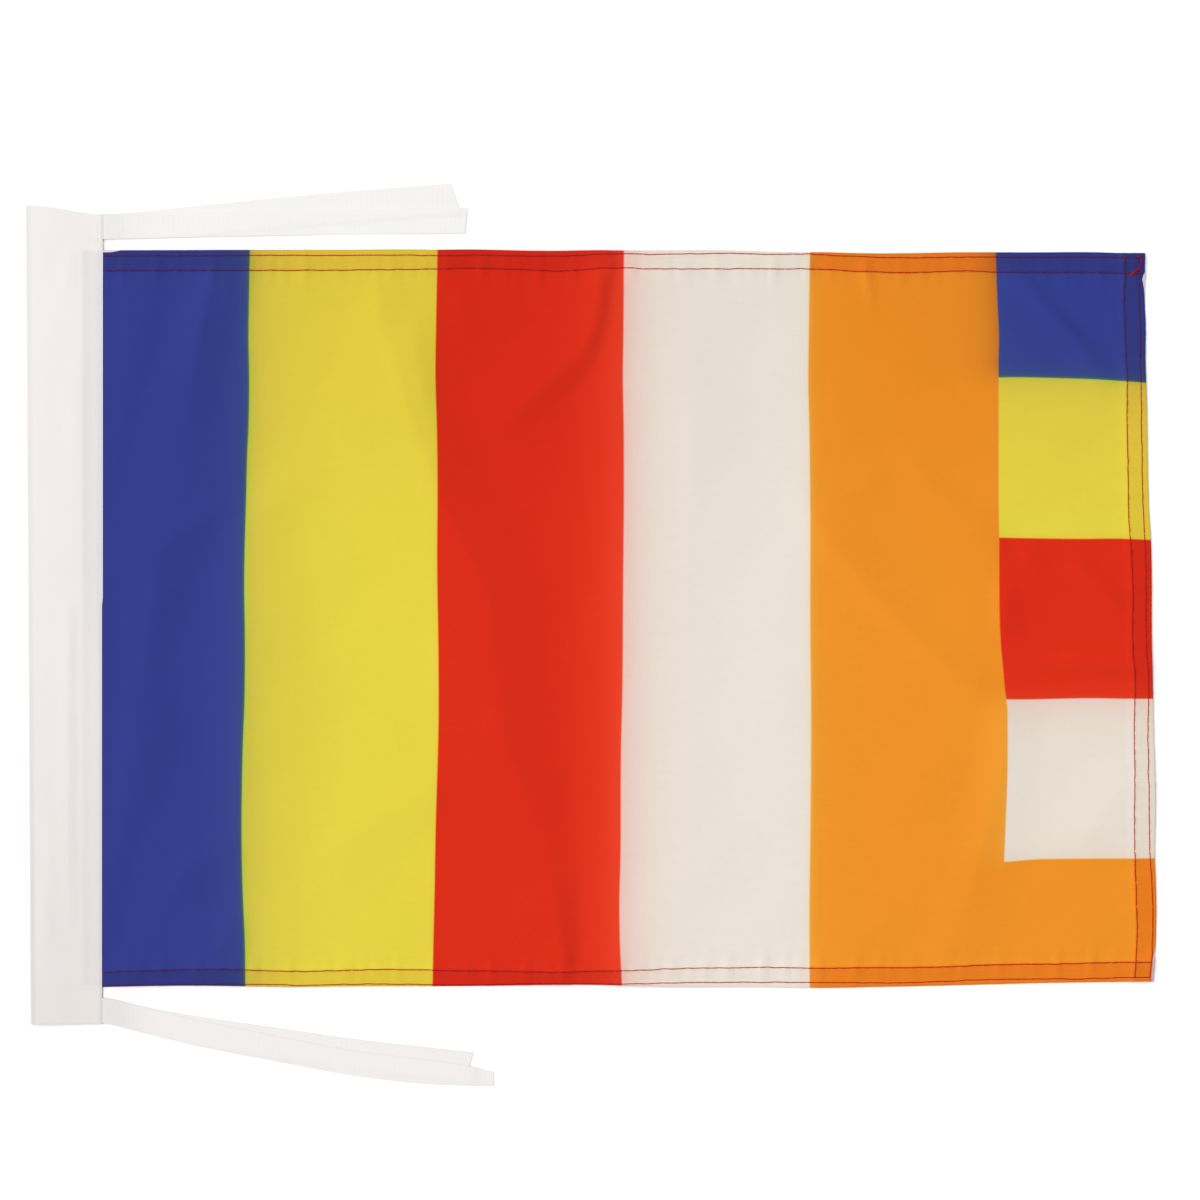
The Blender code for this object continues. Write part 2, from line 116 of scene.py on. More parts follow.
# Creases left by the fold in the packet. Each is a route over the plan, and at each place of
# it: u, v, rise, and how far its straight sides reach towards the hoist and the fly (mm)
CREASES = (
    ("blue, by the heading",
     ((9, 288, 0.8, 15, 22), (9, 262, 1.2, 15, 18), (8, 246, 1.2, 14, 13), (7, 230, 0.9, 12, 8),
      (5, 216, 0.4, 8, 5), (4, 204, 0, 6, 4))),
    ("blue, from the head",
     ((45, 290, 1.3, 11, 20), (43.3, 280, 1.6, 11, 18), (39.5, 265, 1.9, 13, 14),
      (36.5, 250, 1.8, 14, 13), (33.7, 233, 1.3, 18, 15), (30.7, 213, 0.9, 20, 15),
      (28.4, 196, 0.4, 20, 10), (27.5, 186, 0, 20, 9))),
    ("blue, to the foot",
     ((54, 199, 0, 26, 4), (49, 193.5, 0.5, 27, 6), (42, 189, 1.0, 28, 9), (34.5, 184, 1.5, 28, 14),
      (26, 178.5, 1.9, 28, 17), (22.6, 171, 2.1, 28, 17), (21, 159, 1.9, 28, 14),
      (18, 135, 1.4, 27, 11), (15.1, 120, 1.7, 26, 15), (12.8, 102, 2.1, 26, 20),
      (9.9, 82, 2.0, 24, 17), (4.9, 67, 1.9, 20, 11), (2, 49, 1.6, 16, 8), (1, 30, 0.8, 14, 8),
      (1, 12, 0, 14, 8))),
    ("blue, short", ((56, 164.5, 0, 3, 3), (49, 159.5, 0.3, 3, 3), (42.5, 155, 0, 3, 3))),
    ("blue, near the foot",
     ((56, 56, 0, 11, 14), (48, 54, 0.9, 11, 14), (38, 50, 1.3, 11, 14), (31, 42, 1.2, 11, 14),
      (27, 34, 0.7, 11, 12), (25, 26, 0, 11, 12))),
    ("blue, at the foot",
     ((52, 32, 0, 18, 10), (50, 26, 0.8, 18, 10), (47, 16, 1.2, 18, 10), (45, 5, 1.0, 16, 10))),
    ("blue, at the hem", ((50, 288, 0.5, 2.5, 2.5), (50, 280, 0.5, 2.5, 2.5), (49.5, 270, 0, 2.5, 2.5))),
    ("blue and yellow",
     ((58.5, 200, 0, 14, 20), (58, 175, 1.4, 16, 22), (57.3, 140, 2.4, 17, 28), (56.5, 100, 2.7, 17, 32),
      (56, 70, 2.2, 16, 32), (56, 40, 1.4, 14, 28), (57, 6, 0.9, 12, 24))),
    ("yellow, small", ((101, 290, 0.2, 5, 4), (101, 272, 0.2, 5, 4), (102, 257, 0, 5, 4))),
    ("yellow and red, from the head",
     ((109, 290, 0.4, 6, 14), (111, 276, 0.8, 9, 18), (112.3, 264, 1.4, 16, 22),
      (117.8, 250, 2.1, 30, 22), (121.6, 233.5, 2.4, 38, 22), (126.2, 221, 2.5, 42, 22),
      (130.9, 209, 2.6, 44, 22), (138.7, 190, 2.6, 42, 24), (146.5, 173.4, 2.4, 36, 25),
      (154, 156.5, 2.3, 32, 25), (156.5, 132, 2.1, 31, 24), (159.5, 110, 2.2, 31, 21),
      (161, 95, 2.3, 31, 20), (168, 79, 1.9, 34, 18), (174, 66, 1.2, 36, 14), (182, 48, 0, 34, 10))),
    ("yellow, by the red",
     ((126, 274, 0, 14, 8), (126.5, 256, 0.6, 14, 7.5), (129.5, 238, 0.6, 14, 5), (133, 220, 0, 12, 4))),
    ("yellow, upper",
     ((93, 212, 0, 14, 12), (78, 203, 0.35, 14, 12), (65, 191, 0.4, 12, 12), (57, 178, 0, 10, 10))),
    ("yellow, lower",
     ((138, 84, 0, 24, 12), (130, 78, 0.45, 24, 12), (121.6, 73.2, 0.5, 24, 14),
      (103, 64, 0.5, 22, 15), (90.8, 54.7, 0.4, 18, 15), (76, 45, 0, 16, 14))),
    ("red, by the yellow",
     ((142, 290, 0.25, 8, 6), (146, 272, 0.3, 10, 6), (143.5, 255, 0, 8, 6))),
    ("red, from the head",
     ((203, 290, 1.8, 30, 4.5), (201, 280, 1.8, 28, 4.5), (199, 268, 1.8, 26, 4.8),
      (195.5, 258, 1.6, 24, 5.5), (189, 248.5, 1.4, 22, 7), (177, 240, 1.1, 20, 9.5),
      (166, 228, 0.7, 18, 10), (157, 215, 0, 16, 10))),
    ("red and white",
     ((208, 292, 1.8, 17, 50), (208, 200, 1.9, 17, 50), (207, 100, 1.9, 17, 50),
      (205, 6, 1.7, 15, 50))),
    ("red, at the foot",
     ((178, 62, 0, 18, 12), (178.5, 46, 0.8, 18, 12), (179.8, 35, 1.2, 18, 10.5),
      (183.5, 15, 1.5, 20, 6.5), (185.6, 5, 1.8, 20, 5))),
    ("white", ((240, 290, 0, 16, 26), (238, 240, 0.3, 16, 26), (237, 190, 0.3, 16, 26),
               (230, 110, 0, 16, 26))),
    ("orange, pucker", ((306.6, 290, 0.8, 2.6, 2.2), (309.0, 283, 0.9, 2.6, 2.2),
                        (310.2, 270, 0, 2.6, 2.2))),
    ("orange, short", ((290, 192, 0, 5, 12), (299, 198, 0.25, 5, 12), (310, 204, 0.3, 5, 12),
                       (320, 210, 0, 5, 12))),
    ("orange, upper",
     ((318, 218, 0, 12, 9), (330, 203, 0.9, 12, 9), (341, 192, 1.1, 12, 9), (352, 184, 1.0, 12, 9),
      (364, 177, 0, 12, 9))),
    ("orange, across",
     ((282, 192, 0.4, 9, 14), (291, 180, 0.9, 9, 15), (299, 169, 1.0, 7, 16), (313.8, 150.5, 1.1, 6.5, 16),
      (324, 139, 1.3, 6.5, 16), (333.8, 130, 1.4, 7, 15), (348, 118, 1.4, 8, 12), (363, 109, 0, 8, 9))),
    ("orange, to the foot",
     ((363, 120, 0, 10, 10), (361, 108, 0.9, 11, 14), (359, 88, 1.1, 12, 16), (354, 64, 0.9, 12, 18),
      (347, 42, 0.8, 12, 18), (340, 24, 0.7, 11, 18), (333, 8, 0.4, 10, 14))),
    ("fly blue",
     ((366, 290, 0, 8, 6), (372, 281, 1.5, 8, 6), (384, 267, 2.0, 8, 6), (396, 254, 1.9, 8, 6),
      (407, 240, 0, 8, 6))),
    ("fly red, upper", ((366, 178, 0, 4, 5), (371, 173, 0.8, 4, 5), (378, 167, 0, 4, 5))),
    ("fly red, middle", ((384, 172, 0, 5, 6), (392, 166, 1.1, 5, 6), (402, 158, 1.1, 5, 6),
                         (410, 150, 0, 5, 6))),
    ("fly red, side", ((360, 166, 0, 6, 8), (361, 156, 0.8, 6, 8), (361, 147, 0.8, 6, 8),
                       (360, 137, 0, 6, 8))),
    ("fly red, lower", ((377, 130, 0, 3.5, 10), (388, 128, 1.2, 3.5, 10), (402, 126.5, 1.5, 3.5, 10),
                        (418, 126, 1.0, 3.5, 10))),
    ("fly white",
     ((418, 98, 0, 14, 24), (406, 80, 0.5, 16, 26), (395, 62, 0.5, 16, 26), (386, 46, 0, 14, 24))),
)
PUCKER_RISE = 0.55 * MM
SLACK_RISE = 0.16 * MM
CREST_ROUND = 0.8 * MM
FOOT_ROUND = 0.25
FLATTENED = 13.0 * MM
ROUTE_SAMPLES = 60

# Places where one colour of the print gives way to the next, counted from the heading and
# from the foot: straight on the cloth as printed, and where each lies now (mm)
PRINTED_STRIPES = (58.5, 134.5, 208.2, 283.3, 359.5)
STRIPES_NOW = (
    ((0, 57.0), (18, 56.9), (34, 56.2), (66, 55.7), (82, 55.9), (98, 56.3), (114, 56.9),
     (138, 57.1), (162, 56.7), (194, 57.3), (210, 57.6), (226, 58.3), (242, 58.5), (262, 58.2),
     (274, 58.4), (295, 58.9)),
    ((0, 132.0), (18, 132.3), (34, 132.7), (66, 133.3), (82, 133.8), (106, 134.4), (130, 134.4),
     (170, 133.9), (202, 134.1), (226, 133.7), (242, 133.2), (266, 133.4), (295, 134.0)),
    ((0, 207.9), (18, 207.1), (34, 206.9), (50, 207.3), (98, 207.6), (114, 208.0), (162, 208.4),
     (202, 208.7), (226, 208.6), (242, 208.3), (262, 208.5), (295, 208.7)),
    ((0, 283.1), (34, 283.0), (66, 283.4), (114, 283.6), (146, 283.3), (186, 283.3),
     (226, 282.9), (242, 282.5), (262, 282.7), (295, 283.2)),
    ((0, 361.0), (50, 361.0), (63, 361.5), (71, 361.8), (79, 362.1), (103, 362.3), (111, 362.2),
     (119, 361.2), (127, 360.6), (135, 359.8), (143, 359.3), (175, 359.0), (191, 358.8),
     (239, 358.8), (250, 358.7), (262, 358.9), (274, 358.3), (290, 357.7), (295, 357.6)),
)
PRINTED_CELLS = (51.0, 115.0, 179.0, 243.0)
CELLS_NOW = (
    ((359, 49.8), (364, 50.2), (373, 50.9), (383, 51.1), (408, 51.2), (420, 51.3)),
    ((359, 115.0), (368, 114.9), (383, 115.2), (395, 115.4), (408, 115.2), (420, 115.2)),
    ((359, 179.8), (375, 179.5), (391, 179.3), (408, 179.4), (420, 178.9)),
    ((359, 244.0), (367, 244.1), (383, 243.8), (400, 243.2), (408, 242.7), (420, 241.8)),
)


def ease(value):
    """Smooth step: 0 up to 0, 1 from 1 on, and level at both ends."""
    clipped = np.clip(value, 0.0, 1.0)
    return clipped * clipped * (3.0 - 2.0 * clipped)


def lines(*stretches):
    """Places of grid lines through stretches of (start, end, cells), each shared end once."""
    parts = [np.linspace(start, end, cells + 1)[:-1] for start, end, cells in stretches]
    return np.concatenate(parts + [[stretches[-1][1]]])


def through(table, at):
    """Cubic through a table of (place, value) in mm, each slope taken from the neighbours."""
    along, across = np.array(table, dtype=float).T * MM
    slopes = np.gradient(across, along)
    at = np.clip(at, along[0], along[-1])
    cell = np.clip(np.searchsorted(along, at, side="right") - 1, 0, len(along) - 2)
    width = along[cell + 1] - along[cell]
    t = (at - along[cell]) / width
    return (
        (1 + 2 * t) * (1 - t) ** 2 * across[cell]
        + t * (1 - t) ** 2 * width * slopes[cell]
        + t * t * (3 - 2 * t) * across[cell + 1]
        - t * t * (1 - t) * width * slopes[cell + 1]
    )


def hem_widths(u, v):
    """Depth of the head, foot and fly hems: a little past the inner of their sewn rows."""
    return (
        through(HEAD_ROWS[1], u) + ROW_TO_HEM_END,
        through(FOOT_ROWS[1], u) + ROW_TO_HEM_END,
        through(FLY_ROWS[1], v) + ROW_TO_HEM_END,
    )


def crease_ridges(creases, u, v):
    """Sum of soft ridges. A ridge follows a smooth curve through its route and falls away
    straight on each side over that side's reach, its crest and feet rounded off. Its rise and
    reaches change evenly from one place of the route to the next."""
    height = np.zeros_like(u)
    for _, route in creases:
        points = np.array(route, dtype=float) * MM
        places = np.arange(len(points))
        fine = np.linspace(0, len(points) - 1, ROUTE_SAMPLES)
        curve = np.column_stack([through(np.column_stack((places, axis)) / MM, fine)
                                 for axis in points.T[:2]])
        start, step = curve[:-1], np.diff(curve, axis=0)
        length = np.hypot(*step.T)
        margin = points[:, 3:].max() * (1 + FOOT_ROUND)
        near = (
            (u > curve[:, 0].min() - margin) & (u < curve[:, 0].max() + margin)
            & (v > curve[:, 1].min() - margin) & (v < curve[:, 1].max() + margin)
        )
        off_u = u[near][:, None] - start[:, 0]
        off_v = v[near][:, None] - start[:, 1]
        share = np.clip((off_u * step[:, 0] + off_v * step[:, 1]) / length ** 2, 0.0, 1.0)
        away_u = off_u - share * step[:, 0]
        away_v = off_v - share * step[:, 1]
        away = np.hypot(away_u, away_v)
        nearest = away.argmin(axis=1)
        pick = (np.arange(len(nearest)), nearest)
        to_fly = step[nearest, 0] * away_v[pick] - step[nearest, 1] * away_u[pick] > 0
        at = fine[nearest] + share[pick] * (fine[1] - fine[0])
        rise, hoist_reach, fly_reach = (np.interp(at, places, amount) for amount in points.T[2:])
        t = np.hypot(away[pick], CREST_ROUND) / np.where(to_fly, fly_reach, hoist_reach)
        foot = np.clip(1 + FOOT_ROUND - t, 0.0, None) ** 2 / (4 * FOOT_ROUND)
        height[near] += rise * np.where(t < 1 - FOOT_ROUND, 1 - t, foot)
    return height


def puckers(along, inside, width, phase):
    """Little ridges square to a hem, drawn up by its stitches: the peaks of three uneven
    waves along it, highest between the rows and gone a hem's width into the cloth."""
    waves = (
        np.sin(2 * np.pi * along / (7.3 * MM) + phase)
        + np.sin(2 * np.pi * along / (11.9 * MM) + 2.1 * phase)
        + np.sin(2 * np.pi * along / (4.7 * MM) + 3.7 * phase)
    )
    peaks = np.clip(waves / 3, 0.0, 1.0)
    across = np.where(
        inside < width, 0.35 + 0.65 * ease(inside / width), 1.0 - ease((inside - width) / width)
    )
    return PUCKER_RISE * peaks * across


def cloth_lift(u, v):
    """Height of the face's middle over the floor: turned layers under it, the step down from
    the heading, creases, puckers and the slight slack of cloth that lies loose."""
    head, foot, fly = hem_widths(u, v)
    to_head, to_fly = PANEL_HEIGHT - v, PANEL_LENGTH - u
    across_hem = np.maximum(1 - ease((to_head - head) / HEM_EASE), 1 - ease((v - foot) / HEM_EASE))
    fly_hem = 1 - ease((to_fly - fly) / HEM_EASE)
    layers = 2 * FOLD_RADIUS * (across_hem + fly_hem + across_hem * fly_hem)
    loose = ease((u - STEP_OFF) / STEP_DOWN)
    drawn = puckers(u, to_head, head, 1.3) + puckers(u, v, foot, 0.4) + puckers(v, to_fly, fly, 2.2)
    slack = (
        np.sin(2 * np.pi * (u + 0.3 * v) / (83 * MM) + 0.7)
        * np.sin(2 * np.pi * (v - 0.2 * u) / (131 * MM) + 1.9)
        + 0.5 * np.sin(2 * np.pi * (u - 0.4 * v) / (47 * MM)) * np.sin(2 * np.pi * v / (67 * MM))
    )
    from_edge = np.minimum.reduce((to_head, v, to_fly))
    creased = crease_ridges(CREASES, u, v) * (0.35 + 0.65 * ease(from_edge / FLATTENED))
    freed = 0.3 + 0.7 * ease((u - STEP_OFF) / FREE_FROM)
    more = RAISED_MORE * ease((np.minimum(to_head, v) - RAISED_FROM) / RAISED_OVER)
    quiet = drawn + SLACK_RISE * (1.5 + slack)
    tucked = (TUCKED_RAISE + more) * (1.0 - loose)
    return CLOTH / 2 + layers + tucked + (quiet + creased * freed) * loose


def onto_plan(u, v):
    """Move a place of the panel's rectangle to where its uneven edges carry it."""
    out = through(FLY_EDGE, v) * np.clip(u / PANEL_LENGTH, 0.0, 1.0)
    foot, head = -through(FOOT_EDGE, u), through(HEAD_EDGE, u)
    return u + out, v + foot + (head - foot) * v / PANEL_HEIGHT


def print_place(u, v):
    """Where on the print, as it was laid out straight, a place of the panel's plan lies: the
    stretches between one colour's end and the next are spread evenly."""
    def spread(at, now, printed):
        """A line through the places where the colours end now and as they were printed."""
        place = at - now[0] + printed[0]
        for low, high, low_print, high_print in zip(now, now[1:], printed, printed[1:]):
            inside = low_print + (at - low) / (high - low) * (high_print - low_print)
            place = np.where(at >= low, inside, place)
        return place

    flat_u, flat_v = onto_plan(u, v)
    ends_u = [np.zeros_like(u), *(through(table, v) for table in STRIPES_NOW),
              PANEL_LENGTH + through(FLY_EDGE, v)]
    ends_v = [-through(FOOT_EDGE, u), *(through(table, u) for table in CELLS_NOW),
              PANEL_HEIGHT + through(HEAD_EDGE, u)]
    return (
        spread(flat_u, ends_u, [0.0, *(place * MM for place in PRINTED_STRIPES), PANEL_LENGTH]),
        spread(flat_v, ends_v, [0.0, *(place * MM for place in PRINTED_CELLS), PANEL_HEIGHT]),
    )


def hemmed_panel():
    """The whole cloth as one grid that is folded under along the fly and then along the head
    and foot. Each grid line has a zone, a share of that zone, and a turn from 0 on the face
    to pi on the turned layer. Gives the cloth's middle, its print places, and for the finish
    how far each point lies within the hems, their corners, the outer edge and the print."""
    def band(zone, start, end, cells, turn=0.0):
        """Evenly spaced lines of a zone, without its last."""
        return [(zone, share, turn) for share in np.linspace(start, end, cells + 1)[:-1]]

    arc = 6
    bend = [np.pi * step / arc for step in range(arc)]
    across = np.array(
        band(0, 0, 1, 4) + band(1, 0, 1, 8) + band(2, 0, 1, 232) + band(3, 1, 0, 8)
        + [(3, 0, turn) for turn in bend] + [(3, share, np.pi) for share in np.linspace(0, 1, 6)]
    )
    upwards = np.array(
        band(3, 1, 0, 5, np.pi) + [(3, 0, np.pi - turn) for turn in bend] + band(3, 0, 1, 8)
        + band(4, 0, 1, 108) + band(5, 1, 0, 8) + [(5, 0, turn) for turn in bend]
        + [(5, share, np.pi) for share in np.linspace(0, 1, 6)]
    )
    zone_u, share_u, turn_u = (row[:, None] for row in across.T)
    zone_v, share_v, turn_v = (row[None, :] for row in upwards.T)
    loose_from, loose_to = STEP_OFF, STEP_OFF + STEP_DOWN
    rough_v = np.where(zone_v == 4, share_v, zone_v > 4) * PANEL_HEIGHT
    fly = through(FLY_ROWS[1], rough_v) + ROW_TO_HEM_END
    inner = PANEL_LENGTH - fly - 2 * HEM_EASE
    u = np.where(zone_u == 0, -PANEL_TUCK + (loose_from + PANEL_TUCK) * share_u, 0.0)
    u = np.where(zone_u == 1, loose_from + (loose_to - loose_from) * share_u, u)
    u = np.where(zone_u == 2, loose_to + (inner - loose_to) * share_u, u)
    from_fly = FOLD_RADIUS + share_u * (fly + 2 * HEM_EASE * (turn_u == 0) - FOLD_RADIUS)
    from_fly = np.where(turn_u == np.pi, FOLD_RADIUS + share_u * (fly - FOLD_RADIUS), from_fly)
    round_fly = FOLD_RADIUS * (1.0 - np.sin(turn_u))
    u = np.where(zone_u == 3, PANEL_LENGTH - np.where(share_u == 0, round_fly, from_fly), u)
    below_face = np.where(zone_u == 3, -FOLD_RADIUS * (1.0 - np.cos(turn_u)), 0.0)

    head, foot, _ = hem_widths(u, 0.0 * u)
    doubled = np.where(turn_u > 0, 1.0, 1 - ease((PANEL_LENGTH - u - fly) / HEM_EASE))
    radius = FOLD_RADIUS * (1.0 + 2.0 * doubled)
    face_more = 2 * HEM_EASE * (turn_v == 0)
    at_foot = radius + share_v * (foot + face_more - radius)
    at_head = PANEL_HEIGHT - (radius + share_v * (head + face_more - radius))
    inner_foot, inner_head = foot + 2 * HEM_EASE, PANEL_HEIGHT - head - 2 * HEM_EASE
    v = np.where(zone_v == 3, at_foot, inner_foot + (inner_head - inner_foot) * share_v)
    v = np.where(zone_v == 5, at_head, v)
    on_arc = (share_v == 0) & (zone_v != 4)
    round_edge = radius - (radius + below_face) * np.sin(turn_v)
    v = np.where(on_arc & (zone_v == 3), round_edge, v)
    v = np.where(on_arc & (zone_v == 5), PANEL_HEIGHT - round_edge, v)
    under_face = -radius + (radius + below_face) * np.cos(turn_v)

    u, v = np.broadcast_arrays(u, v)
    height = cloth_lift(u, v) + under_face
    flat_u, flat_v = onto_plan(u, v)
    middle = np.stack((flat_u + PLAN_U, flat_v + PLAN_V, height), axis=-1)
    print_u, print_v = print_place(u, v)
    print_u = np.where(turn_u > np.pi / 2, 2 * PANEL_LENGTH - print_u, print_u)
    print_v = np.where((turn_v > np.pi / 2) & (zone_v == 3), -print_v, print_v)
    print_v = np.where((turn_v > np.pi / 2) & (zone_v == 5), 2 * PANEL_HEIGHT - print_v, print_v)
    head, foot, fly = hem_widths(u, v)
    along_depth = np.maximum(v - PANEL_HEIGHT + head, foot - v)
    fly_depth = u - PANEL_LENGTH + fly
    from_fly, from_head = PANEL_LENGTH - u, PANEL_HEIGHT - v
    amounts = {
        "hem_depth": np.maximum(along_depth, fly_depth),
        "corner_depth": np.minimum(along_depth, fly_depth),
        "edge_gap": np.minimum.reduce((from_fly, from_head, v)),
        "print_gap": np.minimum(from_fly - through(BARE_FLY, v), from_head - through(BARE_HEAD, u)),
    }
    return middle, np.stack((print_u, print_v), axis=-1), amounts


def smooth_mesh(name, corners, faces, sharp_from, amounts):
    """A mesh shaded smooth, but for edges sharper than that angle in degrees. Each amount, one
    number for each point, becomes an attribute."""
    mesh = bpy.data.meshes.new(name)
    mesh.from_pydata(corners.reshape(-1, 3).tolist(), [], faces)
    mesh.polygons.foreach_set("use_smooth", np.ones(len(faces), dtype=bool))
    mesh.set_sharp_from_angle(angle=np.radians(sharp_from))
    for label, amount in amounts.items():
        values = mesh.attributes.new(label, "FLOAT", "POINT").data
        values.foreach_set("value", amount.astype(np.float32))
    return mesh


def sheet_mesh(name, middle, thickness, places, **amounts):
    """Closed sheet of cloth: the grid of its middle moved half its thickness along the
    normals to either side, and the two sides joined round the rim. Places become its UV map
    in metres, and each amount an attribute of its points."""
    along, across = np.gradient(middle, axis=0), np.gradient(middle, axis=1)
    normal = np.cross(along, across)
    normal /= np.linalg.norm(normal, axis=-1, keepdims=True)
    rows, columns = middle.shape[:2]
    face = np.arange(rows * columns).reshape(rows, columns)
    back = face + rows * columns
    rim = np.concatenate((face[:, 0], face[-1, 1:], face[-2::-1, -1], face[0, -2:0:-1]))
    ahead = np.roll(rim, -1)
    quads = np.concatenate((
        np.stack((face[:-1, :-1], face[1:, :-1], face[1:, 1:], face[:-1, 1:]), -1).reshape(-1, 4),
        np.stack((back[:-1, :-1], back[:-1, 1:], back[1:, 1:], back[1:, :-1]), -1).reshape(-1, 4),
        np.stack((ahead, rim, rim + rows * columns, ahead + rows * columns), axis=-1),
    ))
    corners = np.concatenate((middle + normal * thickness / 2, middle - normal * thickness / 2))
    both_sides = {label: np.tile(amount.ravel(), 2) for label, amount in amounts.items()}
    mesh = smooth_mesh(name, corners, quads.tolist(), 62, both_sides)
    place = np.tile(places.reshape(-1, 2), (2, 1))[quads.ravel()]
    layer = mesh.uv_layers.new(name="cloth_place")
    layer.data.foreach_set("uv", place.astype(np.float32).ravel())
    return mesh


class Shade:
    """A socket of a finish's node tree. Sums and products of it add Math nodes."""

    def __init__(self, tree, socket=None):
        self.tree, self.socket = tree, socket

    def node(self, kind, values, output=0, **settings):
        """Add a node of that type: its settings first, then its sockets' values or links."""
        made = self.tree.nodes.new(kind)
        for setting, value in settings.items():
            setattr(made, setting, value)
        for socket, value in values.items():
            if isinstance(value, Shade):
                self.tree.links.new(value.socket, made.inputs[socket])
            else:
                made.inputs[socket].default_value = value
        return Shade(self.tree, made.outputs[output])

    def math(self, operation, *values):
        return self.node("ShaderNodeMath", dict(enumerate(values)), operation=operation)

    def __add__(self, other):
        return self.math("ADD", self, other)

    def __sub__(self, other):
        return self.math("SUBTRACT", self, other)

    def __rsub__(self, other):
        return self.math("SUBTRACT", other, self)

    def __mul__(self, other):
        return self.math("MULTIPLY", self, other)

    __radd__, __rmul__ = __add__, __mul__

    def step(self, low, high):
        """0 up to low, 1 from high on, and a smooth step between them."""
        values = {"Value": self, "From Min": low, "From Max": high}
        return self.node("ShaderNodeMapRange", values, interpolation_type="SMOOTHSTEP")

    def mixed(self, under, over, way="MIX"):
        """One colour laid over another, as far as this socket says."""
        colours = {0: self, 6: under, 7: over}
        return self.node("ShaderNodeMix", colours, 2, data_type="RGBA", blend_type=way)

    def times(self, colour):
        """A colour made lighter or darker by this socket's number."""
        grey = self.node("ShaderNodeCombineColor", {0: self, 1: self, 2: self})
        colours = {0: 1.0, 6: colour, 7: grey}
        return self.node("ShaderNodeMix", colours, 2, data_type="RGBA", blend_type="MULTIPLY")

    def split(self):
        """The first two parts of a place."""
        first = self.node("ShaderNodeSeparateXYZ", {0: self})
        return first, Shade(self.tree, first.socket.node.outputs[1])

    def noise(self, place, scale, detail):
        """Soft unevenness about 0.5, finer with a larger scale."""
        return self.node("ShaderNodeTexNoise", {"Vector": place, "Scale": scale, "Detail": detail})

    def amount(self, name):
        """A piece's own attribute."""
        return self.node("ShaderNodeAttribute", {}, 2, attribute_name=name)


def new_finish(name, roughness, specular):
    """A matt material: itself, its shader, and its empty node tree."""
    material = bpy.data.materials.new(name)
    material.use_nodes = True
    shader = material.node_tree.nodes["Principled BSDF"]
    shader.inputs["Roughness"].default_value = roughness
    shader.inputs["Specular IOR Level"].default_value = specular
    return material, shader, Shade(material.node_tree)


def cloth_finish(name, roughness, specular):
    """A matt cloth material, with its place on the flat cloth and that place's two parts."""
    material, shader, tree = new_finish(name, roughness, specular)
    place = tree.node("ShaderNodeUVMap", {}, uv_map="cloth_place")
    return material, shader, tree, place, *place.split()


def woven(tree, along, across, pitch):
    """Plain weave: 1 on top of a yarn and 0 in the holes, warp and weft taking turns."""
    warp = tree.math("SINE", along * (np.pi / pitch))
    weft = tree.math("SINE", across * (np.pi / pitch))
    return 0.5 + 0.5 * (warp * weft)


def finish_surface(material, shader, colour, height):
    """Give the shader its colour and the relief of its yarns."""
    relief = {"Height": height, "Distance": YARN_RELIEF, "Strength": 1.0}
    bump = colour.node("ShaderNodeBump", relief)
    material.node_tree.links.new(colour.socket, shader.inputs["Base Color"])
    material.node_tree.links.new(bump.socket, shader.inputs["Normal"])


def show_piece(name, mesh, material):
    """Put a finished mesh in the scene as a piece that rides on the flag's one body."""
    mesh.materials.append(material)
    piece = bpy.data.objects.new(name, mesh)
    bpy.context.scene.collection.objects.link(piece)
    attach(piece, "root")
    return piece


BLUE = (0.0266, 0.0391, 0.2340, 1.0)
YELLOW = (0.706, 0.590, 0.0495, 1.0)
RED = (0.636, 0.0205, 0.0046, 1.0)
WHITE = (0.757, 0.701, 0.627, 1.0)
ORANGE = (0.772, 0.254, 0.0152, 1.0)
GREEN_OVERLAP = (0.055, 0.105, 0.080, 1.0)
BARE_CLOTH = (0.760, 0.735, 0.800, 1.0)
FLY_WHITE = (0.730, 0.662, 0.583, 1.0)
DYE_EDGE = 0.40 * MM
BLEED_FAR = 9.0 * MM
BLEED_NEAR = 1.3 * MM
# Where the painted shade over the print's upper part starts and where it is full
UPPER_SHADE_FROM, UPPER_SHADE_TO = 130 * MM, 290 * MM
COLUMN_BLEED = 7 * MM
OVERLAP_IN, OVERLAP_HALF = 0.35 * MM, 0.6 * MM
YARN = 0.30 * MM
YARN_RELIEF = 0.03 * MM
HEM_CORNER = (0.92, 0.86, 0.82, 1.0)


